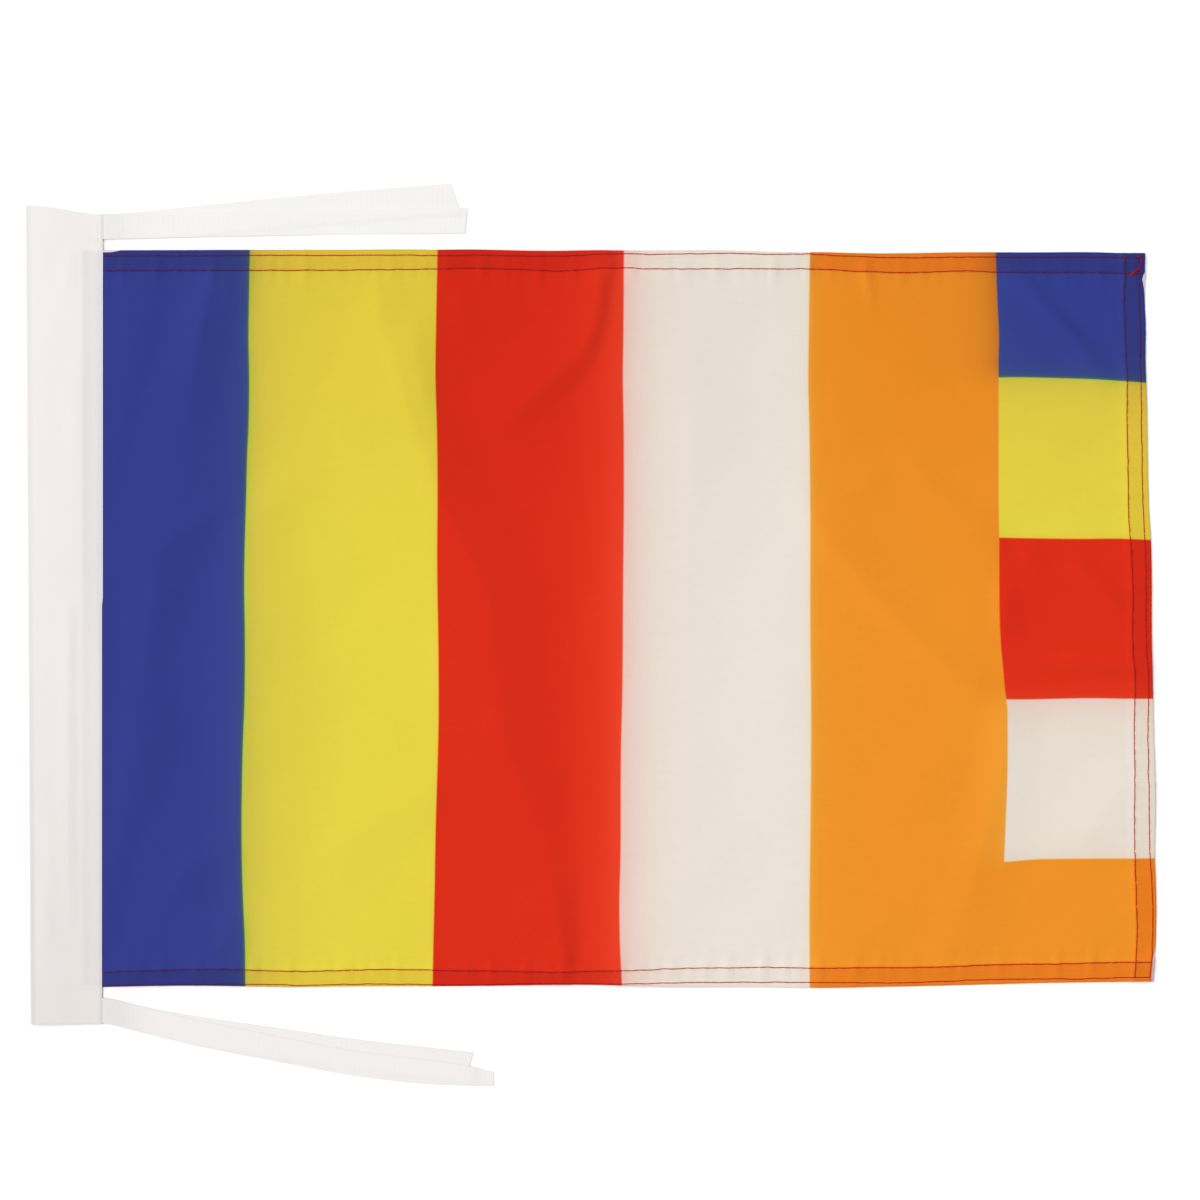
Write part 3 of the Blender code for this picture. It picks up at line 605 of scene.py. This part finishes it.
def printed_cloth():
    """Stripes by the place along the print and fields by the place up it, each edge a narrow
    smooth step. Light that spreads in the thin cloth tints each colour with its neighbour's,
    much at their edge and less and less for a way past it. The hems, two cloths thick, show
    less of the pale table under them, so their colours are deeper. Painted shade darkens the
    upper part of the print, towards the head, and the rolled outer folds."""
    material, shader, tree, place, u, v = cloth_finish("printed_cloth", 0.78, 0.10)

    def chain(at, edges, colours, half=DYE_EDGE):
        """Each colour up to its edge, then the next one."""
        shown = colours[0]
        for edge, colour in zip(edges, colours[1:]):
            shown = at.step(edge - half, edge + half).mixed(shown, colour)
        return shown

    def fading(at, edge, reach):
        """1 at the edge, and falling by the same share for each reach away from it."""
        return tree.math("EXPONENT", tree.math("ABSOLUTE", at - edge) * (-1.0 / reach))

    def tinted(colour, at, edge, far, near=(1.0, 1.0, 1.0)):
        """A colour times two tints beside an edge, one that reaches far and one near it."""
        colour = fading(at, edge, BLEED_FAR).mixed(colour, (*far, 1.0), "MULTIPLY")
        return fading(at, edge, BLEED_NEAR).mixed(colour, (*near, 1.0), "MULTIPLY")

    def strip(at, middle, half):
        """1 in the middle of a strip and 0 from its sides on."""
        return at.step(middle - half, middle) * (1 - at.step(middle, middle + half))

    # Painted shade: the colours grow darker over the upper part of the print, towards the head.
    upper = v.step(UPPER_SHADE_FROM, UPPER_SHADE_TO)
    ends = [end * MM for end in PRINTED_STRIPES]
    cells = [cell * MM for cell in PRINTED_CELLS]
    upper_shade = (0.935, 0.885, 0.86, 1.0)
    yellow_dye_shaded, orange_dye_shaded = (upper.mixed(dye, upper_shade, "MULTIPLY") for dye in (YELLOW, ORANGE))
    red_dye_shaded = upper.mixed(RED, (0.935, 0.84, 0.79, 1.0), "MULTIPLY")
    white_dye_shaded = upper.mixed(WHITE, (0.965, 0.96, 0.955, 1.0), "MULTIPLY")
    blue = tinted(BLUE, u, ends[0], (1.21, 1.33, 0.96), (1.2, 1.5, 0.7))
    yellow = tinted(yellow_dye_shaded, u, ends[0], (0.80, 0.79, 1.20), (0.66, 1.08, 0.66))
    yellow = tinted(yellow, u, ends[1], (1.02, 1.0, 1.0), (1.0, 0.9, 0.85))
    red = tinted(red_dye_shaded, u, ends[2], (1.16, 2.2, 3.3), (1.0, 1.1, 1.1))
    white = tinted(white_dye_shaded, u, ends[2], (1.0, 0.70, 0.68))
    white = tinted(white, u, ends[3], (0.99, 0.96, 0.955), (1.0, 0.97, 0.78))
    orange = tinted(orange_dye_shaded, u, ends[3], (1.01, 1.11, 1.28), (1.0, 1.2, 2.0))
    fly_white = tinted(FLY_WHITE, v, cells[1], (0.98, 0.82, 0.80))
    fly_white = tinted(fly_white, v, cells[0], (0.98, 0.94, 0.92), (1.0, 0.96, 0.82))
    fly_red = tinted(RED, v, cells[1], (1.05, 1.4, 1.6), (1.0, 1.4, 1.3))
    fly_yellow = tinted(yellow_dye_shaded, v, cells[3], (0.86, 0.86, 1.16), (0.72, 1.0, 0.8))
    fly_yellow = tinted(fly_yellow, v, cells[2], (1.0, 1.0, 1.0), (1.0, 0.92, 0.9))
    fly_blue = tinted(BLUE, v, cells[3], (1.16, 1.32, 0.95), (1.2, 1.5, 0.7))
    fly_blue = tinted(fly_blue, u, ends[4], (1.1, 1.15, 0.98), (1.1, 1.1, 0.9))
    by_column = chain(v, cells, (
        (1.0, 1.0, 1.0, 1.0), (1.0, 1.24, 1.9, 1.0), (1.0, 0.95, 0.95, 1.0),
        (1.0, 1.0, 1.0, 1.0), (0.66, 0.66, 1.05, 1.0),
    ), COLUMN_BLEED)
    orange = fading(u, ends[4], 0.7 * BLEED_FAR).mixed(orange, by_column, "MULTIPLY")
    column = chain(v, cells, (ORANGE, fly_white, fly_red, fly_yellow, fly_blue))
    colour = chain(u, ends, (blue, yellow, red, white, orange, column))
    in_column = u.step(ends[4], ends[4] + 0.5 * MM)
    overlap = strip(v, cells[3] + OVERLAP_IN, OVERLAP_HALF) * in_column
    overlap = overlap + strip(u, ends[0] - OVERLAP_IN, OVERLAP_HALF)
    colour = (overlap * 0.8).mixed(colour, GREEN_OVERLAP)

    hem_blue, hem_yellow = (0.92, 0.84, 0.80, 1.0), (0.96, 0.86, 0.83, 1.0)
    hem_red, hem_white = (0.91, 0.84, 0.96, 1.0), (0.98, 0.975, 0.955, 1.0)
    hem_orange = (0.94, 0.72, 0.67, 1.0)
    hem_column = chain(v, cells, (hem_orange, hem_white, hem_red, hem_yellow, hem_blue))
    dense = chain(u, ends, (hem_blue, hem_yellow, hem_red, hem_white, hem_orange, hem_column))
    bare = 1 - tree.amount("print_gap").step(-0.12 * MM, 0.12 * MM)
    colour = bare.mixed(colour, BARE_CLOTH)
    hemmed = tree.amount("hem_depth").step(-0.2 * MM, 0.3 * MM)
    colour = hemmed.mixed(colour, dense, "MULTIPLY")
    corner = tree.amount("corner_depth").step(-0.2 * MM, 0.3 * MM)
    colour = corner.mixed(colour, HEM_CORNER, "MULTIPLY")
    # Painted shade at the rolled outer folds, with the doubled cloth's deeper colour: the last half
    # millimetre takes half the hems' colour.
    edge_shade = 1 - tree.amount("edge_gap").step(0.1 * MM, 0.5 * MM)
    colour = (edge_shade * 0.5).mixed(colour, dense, "MULTIPLY")
    stretched = tree.node("ShaderNodeMapping", {"Vector": place, "Scale": (60.0, 1600.0, 1.0)})
    slubs, cloudy = tree.noise(stretched, 1.0, 2.0), tree.noise(place, 420.0, 3.0)
    uneven = (slubs - 0.5) * 0.04 * (1 + 2 * hemmed) + (cloudy - 0.5) * 0.04
    weave = woven(tree, u, v, YARN)
    colour = (0.98 + uneven + 0.02 * weave).times(colour)
    finish_surface(material, shader, colour, weave)
    return material


panel_middle, panel_places, panel_amounts = hemmed_panel()
panel = show_piece(
    "printed_panel",
    sheet_mesh("printed_panel", panel_middle, CLOTH, panel_places, **panel_amounts),
    printed_cloth(),
)
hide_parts("flag_panel")

# The hem seams: dark red sewing thread in two rows along each hem, sewn by a machine with
# one needle, so each row is its own line of short lockstitches. At the upper fly corner the
# machine went back and forth, which left a thick knot of thread.
THREAD_OVER_PALE = (0.50, 0.010, 0.010, 1.0)
THREAD_OVER_DARK = (0.105, 0.011, 0.040, 1.0)
STRIPE_PALENESS = (0.0, 0.85, 0.6, 1.0, 0.9)
CELL_PALENESS = (0.9, 1.0, 0.6, 0.85, 0.0)
THREAD_RADIUS = 0.172 * MM
PLY_PITCH = 0.45 * MM
# Painted shade laid over the thread in the grooves between its plies
PLY_GROOVE_SHADE = (0.6, 0.6, 0.6, 1.0)
STITCH = 3.2 * MM
STITCH_GAP = 0.08 * MM
STITCH_POINTS = (0.0, 0.03, 0.1, 0.3, 0.5, 0.7, 0.9, 0.97, 1.0)
CORNER_TACKS = (
    ((413.4, 285.6), (415.2, 286.8), (417.4, 287.9)), ((413.5, 286.2), (415.4, 287.4), (417.5, 288.5)),
    ((413.8, 285.8), (415.8, 286.8), (417.6, 287.5)), ((414.3, 286.5), (416.4, 288.0), (418.5, 288.8)),
    ((413.6, 285.9), (416.2, 287.3), (418.3, 288.3)), ((417.4, 288.4), (418.3, 289.9), (418.5, 291.6)),
    ((418.6, 291.0), (418.3, 292.6), (417.4, 293.7)), ((416.8, 293.4), (418.4, 293.9)),
    ((411.2, 292.9), (412.6, 293.6)),
)


def face_place(u, v, over):
    """A place on the panel's face, raised over it."""
    flat_u, flat_v = onto_plan(u, v)
    return np.stack(
        (flat_u + PLAN_U, flat_v + PLAN_V, cloth_lift(u, v) + CLOTH / 2 + over), axis=-1
    )


def stitch_routes(path, length, seed):
    """Split a path over the plan into stitches of that length. Gives, for each stitch, points
    from one needle hole to the next, moved a hair sideways as thread settles unevenly."""
    run = np.concatenate(([0.0], np.cumsum(np.hypot(*np.diff(path, axis=0).T))))
    count = max(1, round(run[-1] / length))
    holes = np.linspace(0.0, run[-1], count + 1)
    uneven = np.random.default_rng(seed).normal(0.0, 0.08 * MM, (count + 1, 1))
    share = np.array(STITCH_POINTS)
    at = holes[:-1, None] + STITCH_GAP / 2 + (holes[1:] - holes[:-1] - STITCH_GAP)[:, None] * share
    u, v = np.interp(at, run, path[:, 0]), np.interp(at, run, path[:, 1])
    heading = np.arctan2(np.gradient(v, axis=1), np.gradient(u, axis=1))
    drift = uneven[:-1] + (uneven[1:] - uneven[:-1]) * share
    return u - drift * np.sin(heading), v + drift * np.cos(heading), np.broadcast_to(share, u.shape)


def paleness(u, v):
    """How pale the print is under a place: thin thread lets some of it show."""
    print_u, print_v = print_place(u, v)
    stripe = np.searchsorted(np.array(PRINTED_STRIPES) * MM, print_u)
    cell = np.searchsorted(np.array(PRINTED_CELLS) * MM, print_v)
    return np.where(stripe == 5, np.take(CELL_PALENESS, cell),
                    np.take(STRIPE_PALENESS, np.minimum(stripe, 4)))


def thread_mesh(name, centres, radius, sides=6, **amounts):
    """Round threads: a ring about each point of each centre line, square to its run, and a
    flat cap at both ends. Each amount of the line's points becomes an attribute."""
    count, points = centres.shape[:2]
    run = np.gradient(centres, axis=1)
    run /= np.linalg.norm(run, axis=-1, keepdims=True)
    level = np.cross(run, (0.0, 0.0, 1.0))
    level /= np.linalg.norm(level, axis=-1, keepdims=True)
    rise = np.cross(level, run)
    angle = (2 * np.pi * np.arange(sides) / sides)[:, None]
    ring = np.cos(angle) * level[:, :, None] + np.sin(angle) * rise[:, :, None]
    corners = centres[:, :, None] + radius * ring
    index = np.arange(count * points * sides).reshape(count, points, sides)
    beside = np.roll(index, -1, axis=2)
    walls = np.stack((index[:, :-1], index[:, 1:], beside[:, 1:], beside[:, :-1]), -1).reshape(-1, 4)
    faces = walls.tolist() + index[:, 0].tolist() + index[:, -1, ::-1].tolist()
    round_about = {label: np.repeat(amount.ravel(), sides) for label, amount in amounts.items()}
    return smooth_mesh(name, corners, faces, 70, round_about)


def sewn(routes, surface, radius):
    """Centre lines of stitches on a surface: each rises out of its needle hole, lies on the
    cloth and dives into the next hole."""
    parts = []
    for u, v, share in routes:
        arch = 0.8 - 1.7 * (2 * share - 1) ** 12
        parts.append(surface(u, v, radius * arch))
    return np.concatenate(parts)


def thread_finish(name, over_dark, over_pale):
    """Two-ply thread: fine slanting lines of painted shade between the plies, and its red the
    brighter the paler the cloth under it."""
    material, shader, tree = new_finish(name, 0.6, 0.1)
    along, up = tree.node("ShaderNodeTexCoord", {}, 3).split()
    plies = 0.5 + 0.5 * tree.math("SINE", (along + up) * (2 * np.pi / PLY_PITCH))
    colour = tree.amount("over_pale").mixed(over_dark, over_pale)
    # Painted shade in the grooves between the plies.
    shaded = (plies * 0.3).mixed(colour, PLY_GROOVE_SHADE, "MULTIPLY")
    finish_surface(material, shader, shaded, plies)
    return material


def hem_paths():
    """The rows over the plan: along the head and foot from the heading to the fly edge, and
    down the fly from the head edge to the foot."""
    along = np.linspace(0.5 * MM, PANEL_LENGTH - 1.6 * MM, 160)
    down = np.linspace(1.4 * MM, PANEL_HEIGHT - 1.2 * MM, 120)
    paths = []
    for row in range(2):
        paths.append(np.column_stack((along, PANEL_HEIGHT - through(HEAD_ROWS[row], along))))
        paths.append(np.column_stack((along, through(FOOT_ROWS[row], along))))
        paths.append(np.column_stack((PANEL_LENGTH - through(FLY_ROWS[row], down), down)))
    return paths


hem_routes = [stitch_routes(path, STITCH, seed) for seed, path in enumerate(hem_paths())]
tack_routes = [stitch_routes(np.array(tack) * MM, 9 * MM, 20 + seed)
               for seed, tack in enumerate(CORNER_TACKS)]
thread_lines = np.concatenate((
    sewn(hem_routes, face_place, THREAD_RADIUS), sewn(tack_routes, face_place, 2 * THREAD_RADIUS),
))
thread_paleness = np.concatenate((
    *(paleness(u, v) for u, v, _ in hem_routes),
    *(np.full_like(u, 0.45) for u, v, _ in tack_routes),
))
hem_stitches = show_piece(
    "hem_stitches",
    thread_mesh("hem_stitches", thread_lines, THREAD_RADIUS, over_pale=thread_paleness),
    thread_finish("hem_thread", THREAD_OVER_DARK, THREAD_OVER_PALE),
)

# The heading: one white woven tape folded in two along its length, its fold on the hoist
# side. The panel's hoist edge and the ribbons' folds lie between its two layers, and one row
# of white stitches near its open edge holds them all.
TAPE = 0.22 * MM
TAPE_YARN = 0.45 * MM
HEADING_WIDTH_HEAD = 31.05 * MM
HEADING_WIDTH_FOOT = 28.95 * MM
HEADING_HEAD = 309.3 * MM
HEADING_SLANT = 3.4 * MM
HEADING_TURN = 0.55 * MM
HEADING_SWELL = 0.25 * MM
HEADING_SEAM = 9.0 * MM
SEAM_SUNK = 0.10 * MM
EDGE_DRAWN_IN = 0.36 * MM
PANEL_OPENING = 0.55 * MM
HEM_OPENING = 0.43 * MM
TIE_OPENING = 0.43 * MM
PINCHED = 0.18 * MM
EDGE_THINNED = 0.7
TIE_V = (-9.6, 304.3)
TIE_ROOM = 6.0 * MM
TAPE_FOLDS = (
    ("along, lower", ((-13, 158, 0, 6, 3), (-13.2, 140, 0.28, 6, 3), (-13.2, 60, 0.28, 6, 3),
                      (-12, 8, 0, 6, 3))),
    ("along, upper", ((-9, 294, 0, 6, 5), (-11, 230, 0.2, 6, 5), (-12, 162, 0, 6, 5))),
    ("foot corner", ((-20, 76, 0, 7, 7), (-24, 30, 0.35, 7, 7), (-27, -8, 0, 7, 7))),
    ("head corner", ((-6, 306, 0, 6, 6), (-14, 285, 0.25, 6, 6), (-16, 258, 0, 6, 6))),
)
TAPE_WHITE = (0.797, 0.762, 0.742, 1.0)
SHOW_THROUGH = (0.918, 0.915, 0.945, 1.0)


def heading_opening(v):
    """Height between the tape's layers: room for the panel, its hems and the ties, and pinched
    between the panel and each tie."""
    low, high = TIE_V[0] * MM + TIE_ROOM, TIE_V[1] * MM - TIE_ROOM
    head, well_in = PANEL_HEIGHT, RAISED_FROM + RAISED_OVER / 2
    places = (low, low / 2, -0.3 * MM, RAISED_FROM, well_in,
              head - well_in, head - RAISED_FROM, head, (head + high) / 2, high)
    openings = (TIE_OPENING, PINCHED, HEM_OPENING, HEM_OPENING, PANEL_OPENING,
                PANEL_OPENING, HEM_OPENING, HEM_OPENING, PINCHED, TIE_OPENING)
    return np.interp(v, places, openings)


def heading_middle(way, v):
    """Middle of the folded tape: way 0 to 1 under it, 1 to 2 round the fold, 2 to 3 back."""
    share = (v - HEADING_FOOT) / (HEADING_HEAD - HEADING_FOOT)
    width = HEADING_WIDTH_FOOT + (HEADING_WIDTH_HEAD - HEADING_WIDTH_FOOT) * share
    flat = width - HEADING_TURN
    under, turn, back = (np.clip(way - start, 0.0, 1.0) for start in range(3))
    angle = np.pi * turn
    u = -flat * (under - back) - HEADING_TURN * np.sin(angle)
    top = TAPE + heading_opening(v)
    climb = ease(flat * back / (flat - HEADING_SEAM))
    swell = HEADING_SWELL * np.sin(np.pi * np.clip(back * 1.2, 0.0, 1.0))
    drawn_in = EDGE_DRAWN_IN * back * (1.0 - ease((v - 152 * MM) / (4 * MM)))
    folded = HEADING_TURN * (1.0 - np.cos(angle))
    height = TAPE / 2 + folded + (top - 2 * HEADING_TURN) * climb + swell
    slant = HEADING_SLANT * share ** 3 * ease(-u / width)
    return u - drawn_in, v + slant, height, back


def heading_place(u, v, over):
    """A place on the tape's upper face, raised over it."""
    height = TAPE + heading_opening(v) + TAPE - SEAM_SUNK
    return np.stack((u + PLAN_U, v + PLAN_V, height + over), axis=-1)


def tape_cloth():
    """White tape: fine lengthways yarns, a dense woven edge, the blue of the panel's tucked
    edge showing faintly through it, painted shade that greys it towards its foot and along its fold, and
    painted light a little brighter towards its head."""
    material, shader, tree, place, u, v = cloth_finish("heading_tape", 0.8, 0.12)
    tucked = (u + PANEL_TUCK).step(-0.9 * MM, 0.8 * MM) * v.step(0.2 * MM, 1.2 * MM)
    tucked = tucked * (1 - (v - PANEL_HEIGHT).step(-1.0 * MM, 0.5 * MM))
    tucked = tucked * (0.5 + 0.5 * v.step(110 * MM, 170 * MM))
    colour = tucked.mixed(TAPE_WHITE, SHOW_THROUGH, "MULTIPLY")
    close = tucked * (u + 4.0 * MM).step(0.0, 2.5 * MM)
    colour = close.mixed(colour, (0.965, 0.965, 1.0, 1.0), "MULTIPLY")
    edge = (u + 1.2 * MM).step(0.0, 0.8 * MM)
    colour = (edge * 0.6).mixed(colour, TAPE_WHITE)
    # Painted shade: the tape greys towards its foot, where less light falls.
    foot_shade = 1 - v.step(-30 * MM, 200 * MM)
    colour = foot_shade.mixed(colour, (0.92, 0.915, 0.91, 1.0), "MULTIPLY")
    # Painted shade along the fold, where the tape turns away from the light, deeper near the foot.
    slant = (HEADING_WIDTH_HEAD - HEADING_WIDTH_FOOT) / (HEADING_HEAD - HEADING_FOOT)
    from_fold = u + v * slant + (HEADING_WIDTH_FOOT - HEADING_FOOT * slant)
    folded = 1 - from_fold.step(1.0 * MM, 3.0 * MM)
    colour = folded.mixed(colour, (0.93, 0.935, 0.945, 1.0), "MULTIPLY")
    colour = (folded * foot_shade).mixed(colour, (0.965, 0.96, 0.95, 1.0), "MULTIPLY")
    stretched = tree.node("ShaderNodeMapping", {"Vector": place, "Scale": (1500.0, 25.0, 1.0)})
    yarns, cloudy = tree.noise(stretched, 1.0, 2.0), tree.noise(place, 60.0, 2.0)
    weave = woven(tree, u, v, TAPE_YARN)
    # Besides the yarns' unevenness, painted light makes the tape a little brighter towards its head.
    bright = 0.955 + 0.03 * yarns + 0.03 * cloudy + 0.01 * weave + 0.02 * v.step(180 * MM, 320 * MM)
    finish_surface(material, shader, bright.times(colour), weave + 0.5 * yarns)
    return material


tape_way = lines((0, 1, 24), (1, 2, 10), (2, 2.95, 42), (2.95, 3, 6))[:, None]
tape_v = lines((HEADING_FOOT, HEADING_HEAD, 190))[None, :]
tape_u, tape_up, tape_height, tape_back = heading_middle(*np.broadcast_arrays(tape_way, tape_v))
tape_height = tape_height + crease_ridges(TAPE_FOLDS, tape_u, tape_up) * ease(tape_back * 3)
to_open_edge = (3.0 - tape_way) * HEADING_WIDTH_HEAD
tape_thickness = TAPE * (1 - EDGE_THINNED * (1 - ease(to_open_edge / (1.0 * MM))))
tape_height = tape_height - (TAPE - tape_thickness) / 2
heading = show_piece(
    "heading_tape",
    sheet_mesh(
        "heading_tape",
        np.stack((tape_u + PLAN_U, tape_up + PLAN_V, tape_height), axis=-1)[::-1],
        tape_thickness[::-1, :, None],
        np.stack((tape_u, tape_up), axis=-1)[::-1],
    ),
    tape_cloth(),
)
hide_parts("heading_sleeve")

SEAM_IN = 2.0 * MM
SEAM_THREAD = 0.10 * MM
SEAM_WHITE = (0.83, 0.80, 0.79, 1.0)
seam_v = np.linspace(HEADING_FOOT + 1.5 * MM, HEADING_HEAD - 1.5 * MM, 90)
seam_path = np.column_stack((np.full_like(seam_v, -SEAM_IN), seam_v))
heading_stitches = show_piece(
    "heading_stitches",
    thread_mesh(
        "heading_stitches",
        sewn([stitch_routes(seam_path, STITCH, 40)], heading_place, SEAM_THREAD), SEAM_THREAD,
    ),
    thread_finish("heading_thread", SEAM_WHITE, SEAM_WHITE),
)

# The ties: one white polyester ribbon at each end of the heading, folded at its middle. The
# fold is sewn into the heading, and the two halves are free and cut off bare at their ends.
# The upper half lies on the under one.
RIBBON = 0.16 * MM
RIBBON_WIDTH = 10.0 * MM
RIB = 0.5 * MM
RIBBON_TUCK = 7.5 * MM
RIBBON_TURN = 0.11 * MM
OFF_TAPE = 0.03 * MM
RIBBON_LEVEL = 1.2 * MM
RIBBON_FALL = 2.6 * MM
TAPER_FROM = 118 * MM
CUT_REACH = 8.0 * MM
UPPER_WHITE = (0.838, 0.828, 0.806, 1.0)
LOWER_WHITE = (0.815, 0.786, 0.764, 1.0)

# Centre line of each half over the plan (mm), how far its end leans outwards for each unit
# towards the head, and what the head side loses at a curled end
UPPER_TIE = (
    (((-8, 304.2), (0, 304.3), (30, 306.9), (80, 311.9), (141, 316.8)), -0.28, 0.0),
    (((-8, 304.2), (0, 304.3), (30, 305.0), (75, 305.9), (145.5, 306.8)), 0.12, 0.0),
)
LOWER_TIE = (
    (((-8, -9.3), (0, -9.6), (16, -13.2), (32, -16.2), (65, -20.9), (97, -25.7), (147, -31.3)),
     0.22, 0.0),
    (((-8, -9.3), (0, -9.6), (16, -13.4), (35, -17.9), (67, -24.4), (97, -30.2), (120, -33.2),
      (156.5, -35.0)), 0.0, 4.2 * MM),
)


def tie_middle(under_half, upper_half, way, side):
    """Middle of a ribbon folded at its middle: way 0 to 1 runs in along the under half, 1 to
    2 round the fold and 2 to 3 out along the upper half, which falls to the floor beyond the
    under one's edge."""
    fold = RIBBON_TURN - RIBBON_TUCK

    def half_at(half, along):
        """Side's distance square to the half's route, less the curl, plus the cut's lean."""
        route, cut, taper = half
        end = route[-1][0] * MM
        hair = 0.3 * MM
        centre = through(route, along)
        slope = (through(route, along + hair) - through(route, along - hair)) / (2 * hair)
        lean = np.hypot(1.0, slope)
        loss = taper * np.clip((along - TAPER_FROM) / (end - TAPER_FROM), 0.0, 1.0) ** 2
        kept = side - loss * np.clip(side / (RIBBON_WIDTH / 2), 0.0, 1.0)
        reach = cut * side * ease((along - end) / CUT_REACH + 1.0)
        return along + reach - kept * slope / lean, centre + kept / lean

    inwards, turn, out = (np.clip(way - start, 0.0, 1.0) for start in range(3))
    under_end, upper_end = under_half[0][-1][0] * MM, upper_half[0][-1][0] * MM
    under_u, under_v = half_at(under_half, under_end + (fold - under_end) * inwards)
    upper_u, upper_v = half_at(upper_half, fold + (upper_end - fold) * out)
    angle = np.pi * turn
    on_upper = way > 2.0
    u = np.where(on_upper, upper_u, under_u - RIBBON_TURN * np.sin(angle))
    v = np.where(on_upper, upper_v, under_v)
    edge = through(under_half[0], np.clip(u, fold, under_end)) - RIBBON_WIDTH / 2
    beyond = np.maximum(edge - v, u - under_end)
    laid_over = 2 * RIBBON_TURN * (1.0 - ease((beyond - RIBBON_LEVEL) / RIBBON_FALL))
    folded = RIBBON_TURN * (1.0 - np.cos(angle))
    held = (TAPE + OFF_TAPE) * (1.0 - ease((u - STEP_OFF) / STEP_DOWN))
    wave = 0.10 * MM * (1 + np.sin(u / (11 * MM) + v / (9 * MM))) * ease((u - 8 * MM) / (20 * MM))
    height = RIBBON / 2 + held + np.where(on_upper, laid_over, folded) + wave
    along = np.where(on_upper, upper_u, -under_u)
    return u, v, height, along


def ribbon_cloth(name, white, root_shade):
    """White ribbon: close crosswise ribs, a smooth woven edge on both sides, a soft sheen,
    and a little painted shade where it comes out of the heading."""
    material, shader, tree, place, along, side = cloth_finish(name, 0.65, 0.15)
    ribs = 0.5 + 0.5 * tree.math("SINE", along * (2 * np.pi / RIB))
    from_middle = tree.math("ABSOLUTE", side - RIBBON_WIDTH / 2)
    edge = from_middle.step(RIBBON_WIDTH / 2 - 0.9 * MM, RIBBON_WIDTH / 2 - 0.5 * MM)
    # Painted shade where the ribbon comes out from under the heading.
    root = 1 - tree.math("ABSOLUTE", along).step(2 * MM, 26 * MM)
    bright = 0.965 + 0.03 * tree.noise(place, 90.0, 2.0) + 0.01 * ribs * (1 - edge)
    bright = bright - 0.01 * edge - root_shade * root
    finish_surface(material, shader, bright.times(white), ribs * (1 - edge))
    return material


for tie_name, (under_half, upper_half), flat_length, tie_white, root_shade in (
    ("upper_tie", UPPER_TIE, 303.0 * MM, UPPER_WHITE, 0.05),
    ("lower_tie", LOWER_TIE, 326.0 * MM, LOWER_WHITE, 0.09),
):
    tie_way = lines((0, 0.75, 90), (0.75, 1, 40), (1, 2, 8), (2, 2.25, 40), (2.25, 3, 90))[:, None]
    tie_side = lines((-RIBBON_WIDTH / 2, RIBBON_WIDTH / 2, 16))[None, :]
    tie_way, tie_side = np.broadcast_arrays(tie_way, tie_side)
    tie_u, tie_v, tie_height, tie_along = tie_middle(under_half, upper_half, tie_way, tie_side)
    tie = show_piece(
        f"{tie_name}_ribbon",
        sheet_mesh(
            f"{tie_name}_ribbon",
            np.stack((tie_u + PLAN_U, tie_v + PLAN_V, tie_height), axis=-1)[::-1], RIBBON,
            np.stack((tie_along, tie_side + RIBBON_WIDTH / 2), axis=-1)[::-1],
        ),
        ribbon_cloth(f"{tie_name}_cloth", tie_white, root_shade),
    )
    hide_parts(tie_name)

# The table top it lies on, a broad soft lamp high on the hoist side, pale light all round,
# and the camera straight above with a long lens.
FLOOR_SIDE = 30.0
FLOOR_WHITE = (0.96, 0.96, 0.96, 1.0)
FRAME_WIDTH = 480.85 * MM
FRAME_CENTRE = (3.5 * MM, 13.9 * MM)
CAMERA_HEIGHT = 1.2
SENSOR = 36.0
AROUND = 0.36
KEY = 3.107
KEY_FROM = (-0.62, 0.24, 0.80)
KEY_SPREAD = 80.0

floor_mesh = bpy.data.meshes.new("floor")
half_floor = FLOOR_SIDE / 2
floor_mesh.from_pydata(
    [(-half_floor, -half_floor, 0), (half_floor, -half_floor, 0), (half_floor, half_floor, 0),
     (-half_floor, half_floor, 0)], [], [(0, 1, 2, 3)],
)
floor = bpy.data.objects.new("floor", floor_mesh)
floor_paint, floor_shader, _ = new_finish("floor_paint", 0.9, 0.1)
floor_shader.inputs["Base Color"].default_value = FLOOR_WHITE
floor_mesh.materials.append(floor_paint)
bpy.context.scene.collection.objects.link(floor)

world = bpy.data.worlds.new("pale_room")
world.use_nodes = True
world.node_tree.nodes["Background"].inputs["Color"].default_value = (1.0, 1.0, 1.0, 1.0)
world.node_tree.nodes["Background"].inputs["Strength"].default_value = AROUND
bpy.context.scene.world = world

lamp = bpy.data.lights.new("soft_lamp", "SUN")
lamp.energy = KEY
lamp.angle = np.radians(KEY_SPREAD)
lamp_object = bpy.data.objects.new("soft_lamp", lamp)
lamp_object.rotation_mode = "QUATERNION"
lamp_object.rotation_quaternion = Vector(KEY_FROM).to_track_quat("Z", "Y")
bpy.context.scene.collection.objects.link(lamp_object)

lens = bpy.data.cameras.new("camera")
lens.sensor_width = SENSOR
lens.lens = SENSOR * CAMERA_HEIGHT / FRAME_WIDTH
lens.clip_start, lens.clip_end = 0.05, 60.0
camera = bpy.data.objects.new("camera", lens)
camera.location = (*FRAME_CENTRE, CAMERA_HEIGHT)
bpy.context.scene.collection.objects.link(camera)
bpy.context.scene.camera = camera
bpy.context.scene.view_settings.view_transform = "Standard"
